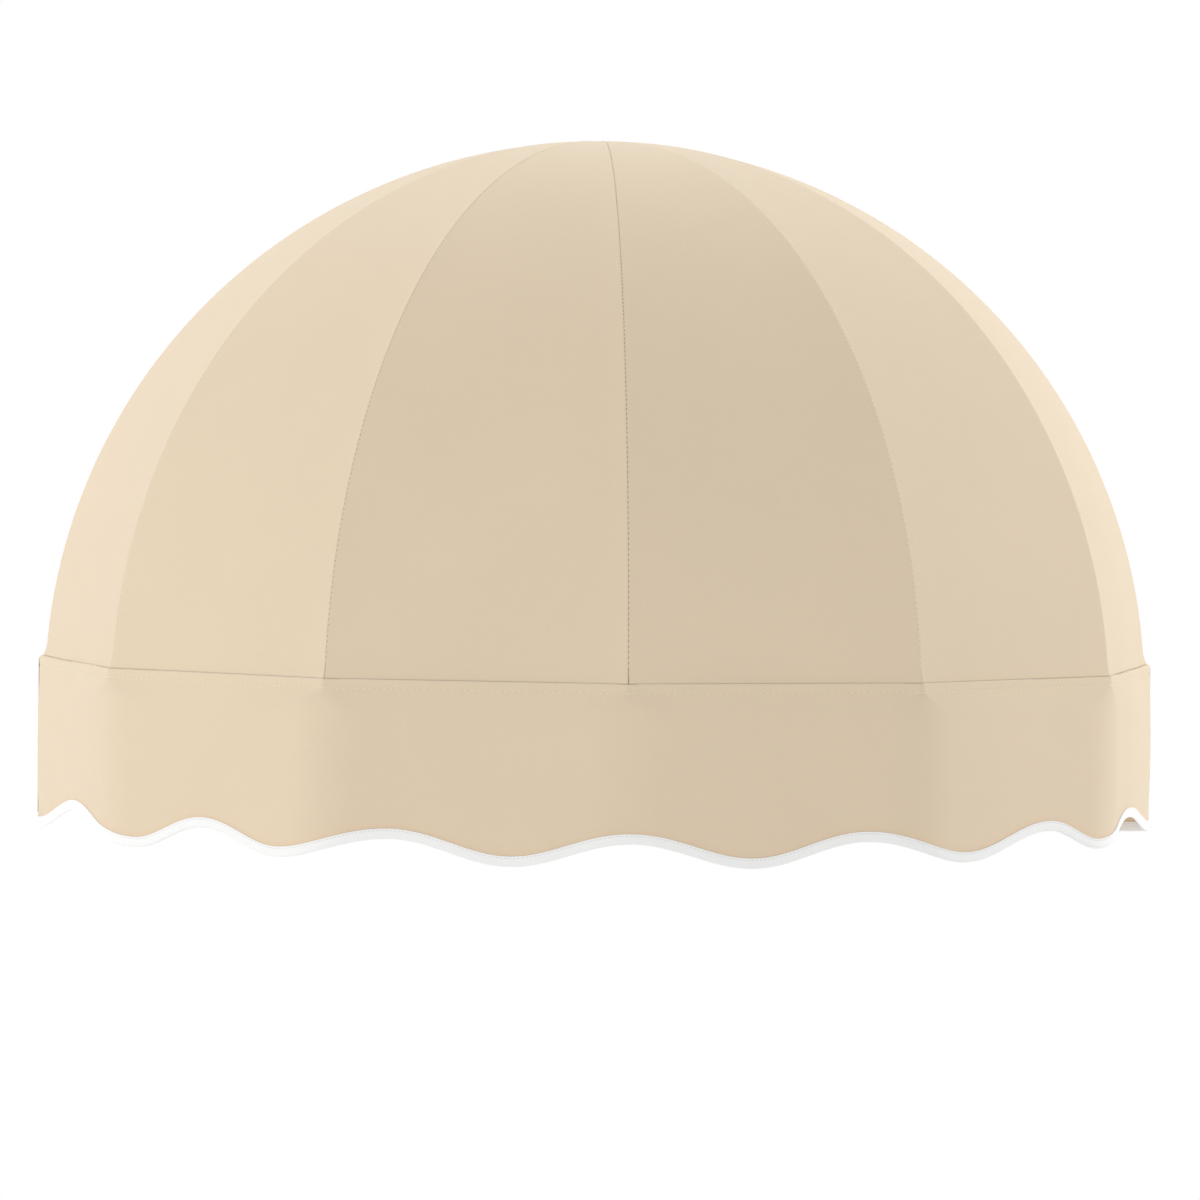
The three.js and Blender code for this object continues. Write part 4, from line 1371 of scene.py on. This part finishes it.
class AWNING_OT_stage(Operator):
    """Set up the floor, the lamps and the camera"""

    bl_idname = "awning.stage"
    bl_label = "Stage"

    def execute(self, context):
        scene = context.scene
        stage = scene.awning_stage
        self.floor(scene, stage)
        self.world(scene, stage)
        for side, place, size in LAMPS:
            self.lamp(scene, f"{side}_lamp", place, size, getattr(stage, f"{side}_power"))
        self.camera(scene, stage)
        scene.view_settings.view_transform = "Standard"
        return {"FINISHED"}

    def floor(self, scene, stage):
        mesh = bpy.data.meshes.new("floor")
        shape = bmesh.new()
        bmesh.ops.create_circle(shape, cap_ends=True, segments=96, radius=FLOOR_RADIUS)
        shape.to_mesh(mesh)
        shape.free()
        floor = bpy.data.objects.new("floor", mesh)
        floor.location = (0, 0, -stage.floor_drop)
        scene.collection.objects.link(floor)
        finish = Finish("pale_floor", scene.awning_colours.floor, 0.9)
        grain = finish.noise(3, 4)
        tone = finish.spread(grain, 0.98, 1.01)
        finish.wear("Base Color", finish.shade(tuple(scene.awning_colours.floor), tone))
        finish.wear("Normal", finish.bump(finish.noise(60, 3), 0.0004))
        distance = finish.add("ShaderNodeVectorMath", operation="LENGTH")
        finish.set(distance.inputs[0], finish.place["Object"])
        away = finish.add("ShaderNodeMapRange", interpolation_type="SMOOTHSTEP")
        finish.set(away.inputs["Value"], distance.outputs["Value"])
        away.inputs["From Min"].default_value = FADE_START
        away.inputs["From Max"].default_value = FADE_END
        seen = finish.math("MULTIPLY", away.outputs["Result"], self.seen_ray(finish.tree))
        white = finish.add("ShaderNodeEmission")
        blend = finish.add("ShaderNodeMixShader")
        finish.set(blend.inputs[0], seen)
        finish.set(blend.inputs[1], finish.shader.outputs[0])
        finish.set(blend.inputs[2], white.outputs[0])
        output = finish.tree.nodes["Material Output"]
        finish.set(output.inputs["Surface"], blend.outputs[0])
        mesh.materials.append(finish.material)

    def seen_ray(self, tree):
        """1 for what the camera, a reflection or glass sees, and 0 for what only lights."""
        path = tree.nodes.new("ShaderNodeLightPath")
        total = path.outputs["Is Camera Ray"]
        for name in ("Is Glossy Ray", "Is Transmission Ray"):
            either = tree.nodes.new("ShaderNodeMath")
            either.operation = "MAXIMUM"
            tree.links.new(total, either.inputs[0])
            tree.links.new(path.outputs[name], either.inputs[1])
            total = either.outputs[0]
        return total

    def world(self, scene, stage):
        world = bpy.data.worlds.new("studio")
        world.use_nodes = True
        tree = world.node_tree
        light = tree.nodes["Background"]
        light.inputs["Color"].default_value = (1, 1, 1, 1)
        light.inputs["Strength"].default_value = stage.ambient
        white = tree.nodes.new("ShaderNodeBackground")
        white.inputs["Color"].default_value = (1, 1, 1, 1)
        blend = tree.nodes.new("ShaderNodeMixShader")
        tree.links.new(self.seen_ray(tree), blend.inputs[0])
        tree.links.new(light.outputs[0], blend.inputs[1])
        tree.links.new(white.outputs[0], blend.inputs[2])
        tree.links.new(blend.outputs[0], tree.nodes["World Output"].inputs["Surface"])
        scene.world = world

    def lamp(self, scene, name, place, size, power):
        data = bpy.data.lights.new(name, "AREA")
        data.shape = "RECTANGLE"
        data.size, data.size_y = size
        data.energy = power
        lamp = bpy.data.objects.new(name, data)
        lamp.location = place
        aim = LAMP_AIM - Vector(place)
        lamp.rotation_euler = aim.to_track_quat("-Z", "Y").to_euler()
        scene.collection.objects.link(lamp)

    def camera(self, scene, stage):
        data = bpy.data.cameras.new("camera")
        data.sensor_width = FILM_WIDTH * 1000
        data.lens = stage.lens * 1000
        camera = bpy.data.objects.new("camera", data)
        turn, rise, roll = stage.azimuth, stage.elevation, stage.roll
        back = Vector((math.sin(turn) * math.cos(rise), -math.cos(turn) * math.cos(rise),
                       math.sin(rise)))
        level = Vector((math.cos(turn), math.sin(turn), 0))
        up = back.cross(level)
        right = level * math.cos(roll) + up * math.sin(roll)
        above = up * math.cos(roll) - level * math.sin(roll)
        focal_pixels = stage.lens / FILM_WIDTH * PHOTO_WIDTH
        ahead = (-back * focal_pixels + right * (PHOTO_WIDTH / 2 - OPTICAL_CENTRE[0])
                 - above * (PHOTO_WIDTH / 2 - OPTICAL_CENTRE[1])).normalized()
        x_axis = (right - ahead * right.dot(ahead)).normalized()
        y_axis = (-ahead).cross(x_axis)
        place = FITTED_POINT + back * stage.distance
        for i, axis in enumerate((x_axis, y_axis, -ahead, place)):
            camera.matrix_world.col[i] = (*axis, 1 if i == 3 else 0)
        scene.collection.objects.link(camera)
        scene.camera = camera


class AWNING_PT_parts(Panel):
    """Sizes, colours and pieces of the awning"""

    bl_idname = "AWNING_PT_parts"
    bl_label = "Dome awning"
    bl_space_type = "VIEW_3D"
    bl_region_type = "UI"
    bl_category = "Awning"

    def draw(self, context):
        for title, group, operators in SECTIONS:
            box = self.layout.box()
            box.label(text=title)
            values = getattr(context.scene, group)
            for name in values.__annotations__:
                box.prop(values, name)
            for operator in operators:
                box.operator(operator.bl_idname)


GROUPS = {
    "awning_dome": AwningDomeSizes,
    "awning_valance": AwningValanceSizes,
    "awning_frame": AwningFrameSizes,
    "awning_sewing": AwningSewing,
    "awning_colours": AwningColours,
    "awning_stage": AwningStage,
}
SECTIONS = (
    ("Frame", "awning_frame", (AWNING_OT_tubes, AWNING_OT_castings)),
    ("Dome", "awning_dome", (AWNING_OT_cover, AWNING_OT_wall_hem, AWNING_OT_hoop_pockets)),
    ("Valance", "awning_valance",
     (AWNING_OT_valance, AWNING_OT_edge_binding, AWNING_OT_upright_bindings)),
    ("Sewing", "awning_sewing", ()),
    ("Colours", "awning_colours", ()),
    ("Stage", "awning_stage", (AWNING_OT_stage,)),
)
OPERATORS = [operator for _, _, operators in SECTIONS for operator in operators]


def register():
    for kind in (*GROUPS.values(), *OPERATORS, AWNING_PT_parts):
        bpy.utils.register_class(kind)
    for name, group in GROUPS.items():
        setattr(bpy.types.Scene, name, PointerProperty(type=group))


def unregister():
    for name in GROUPS:
        delattr(bpy.types.Scene, name)
    for kind in reversed((*GROUPS.values(), *OPERATORS, AWNING_PT_parts)):
        bpy.utils.unregister_class(kind)


def main():
    register()
    for operator in OPERATORS:
        group, name = operator.bl_idname.split(".")
        getattr(getattr(bpy.ops, group), name)()


if __name__ == "__main__":
    main()
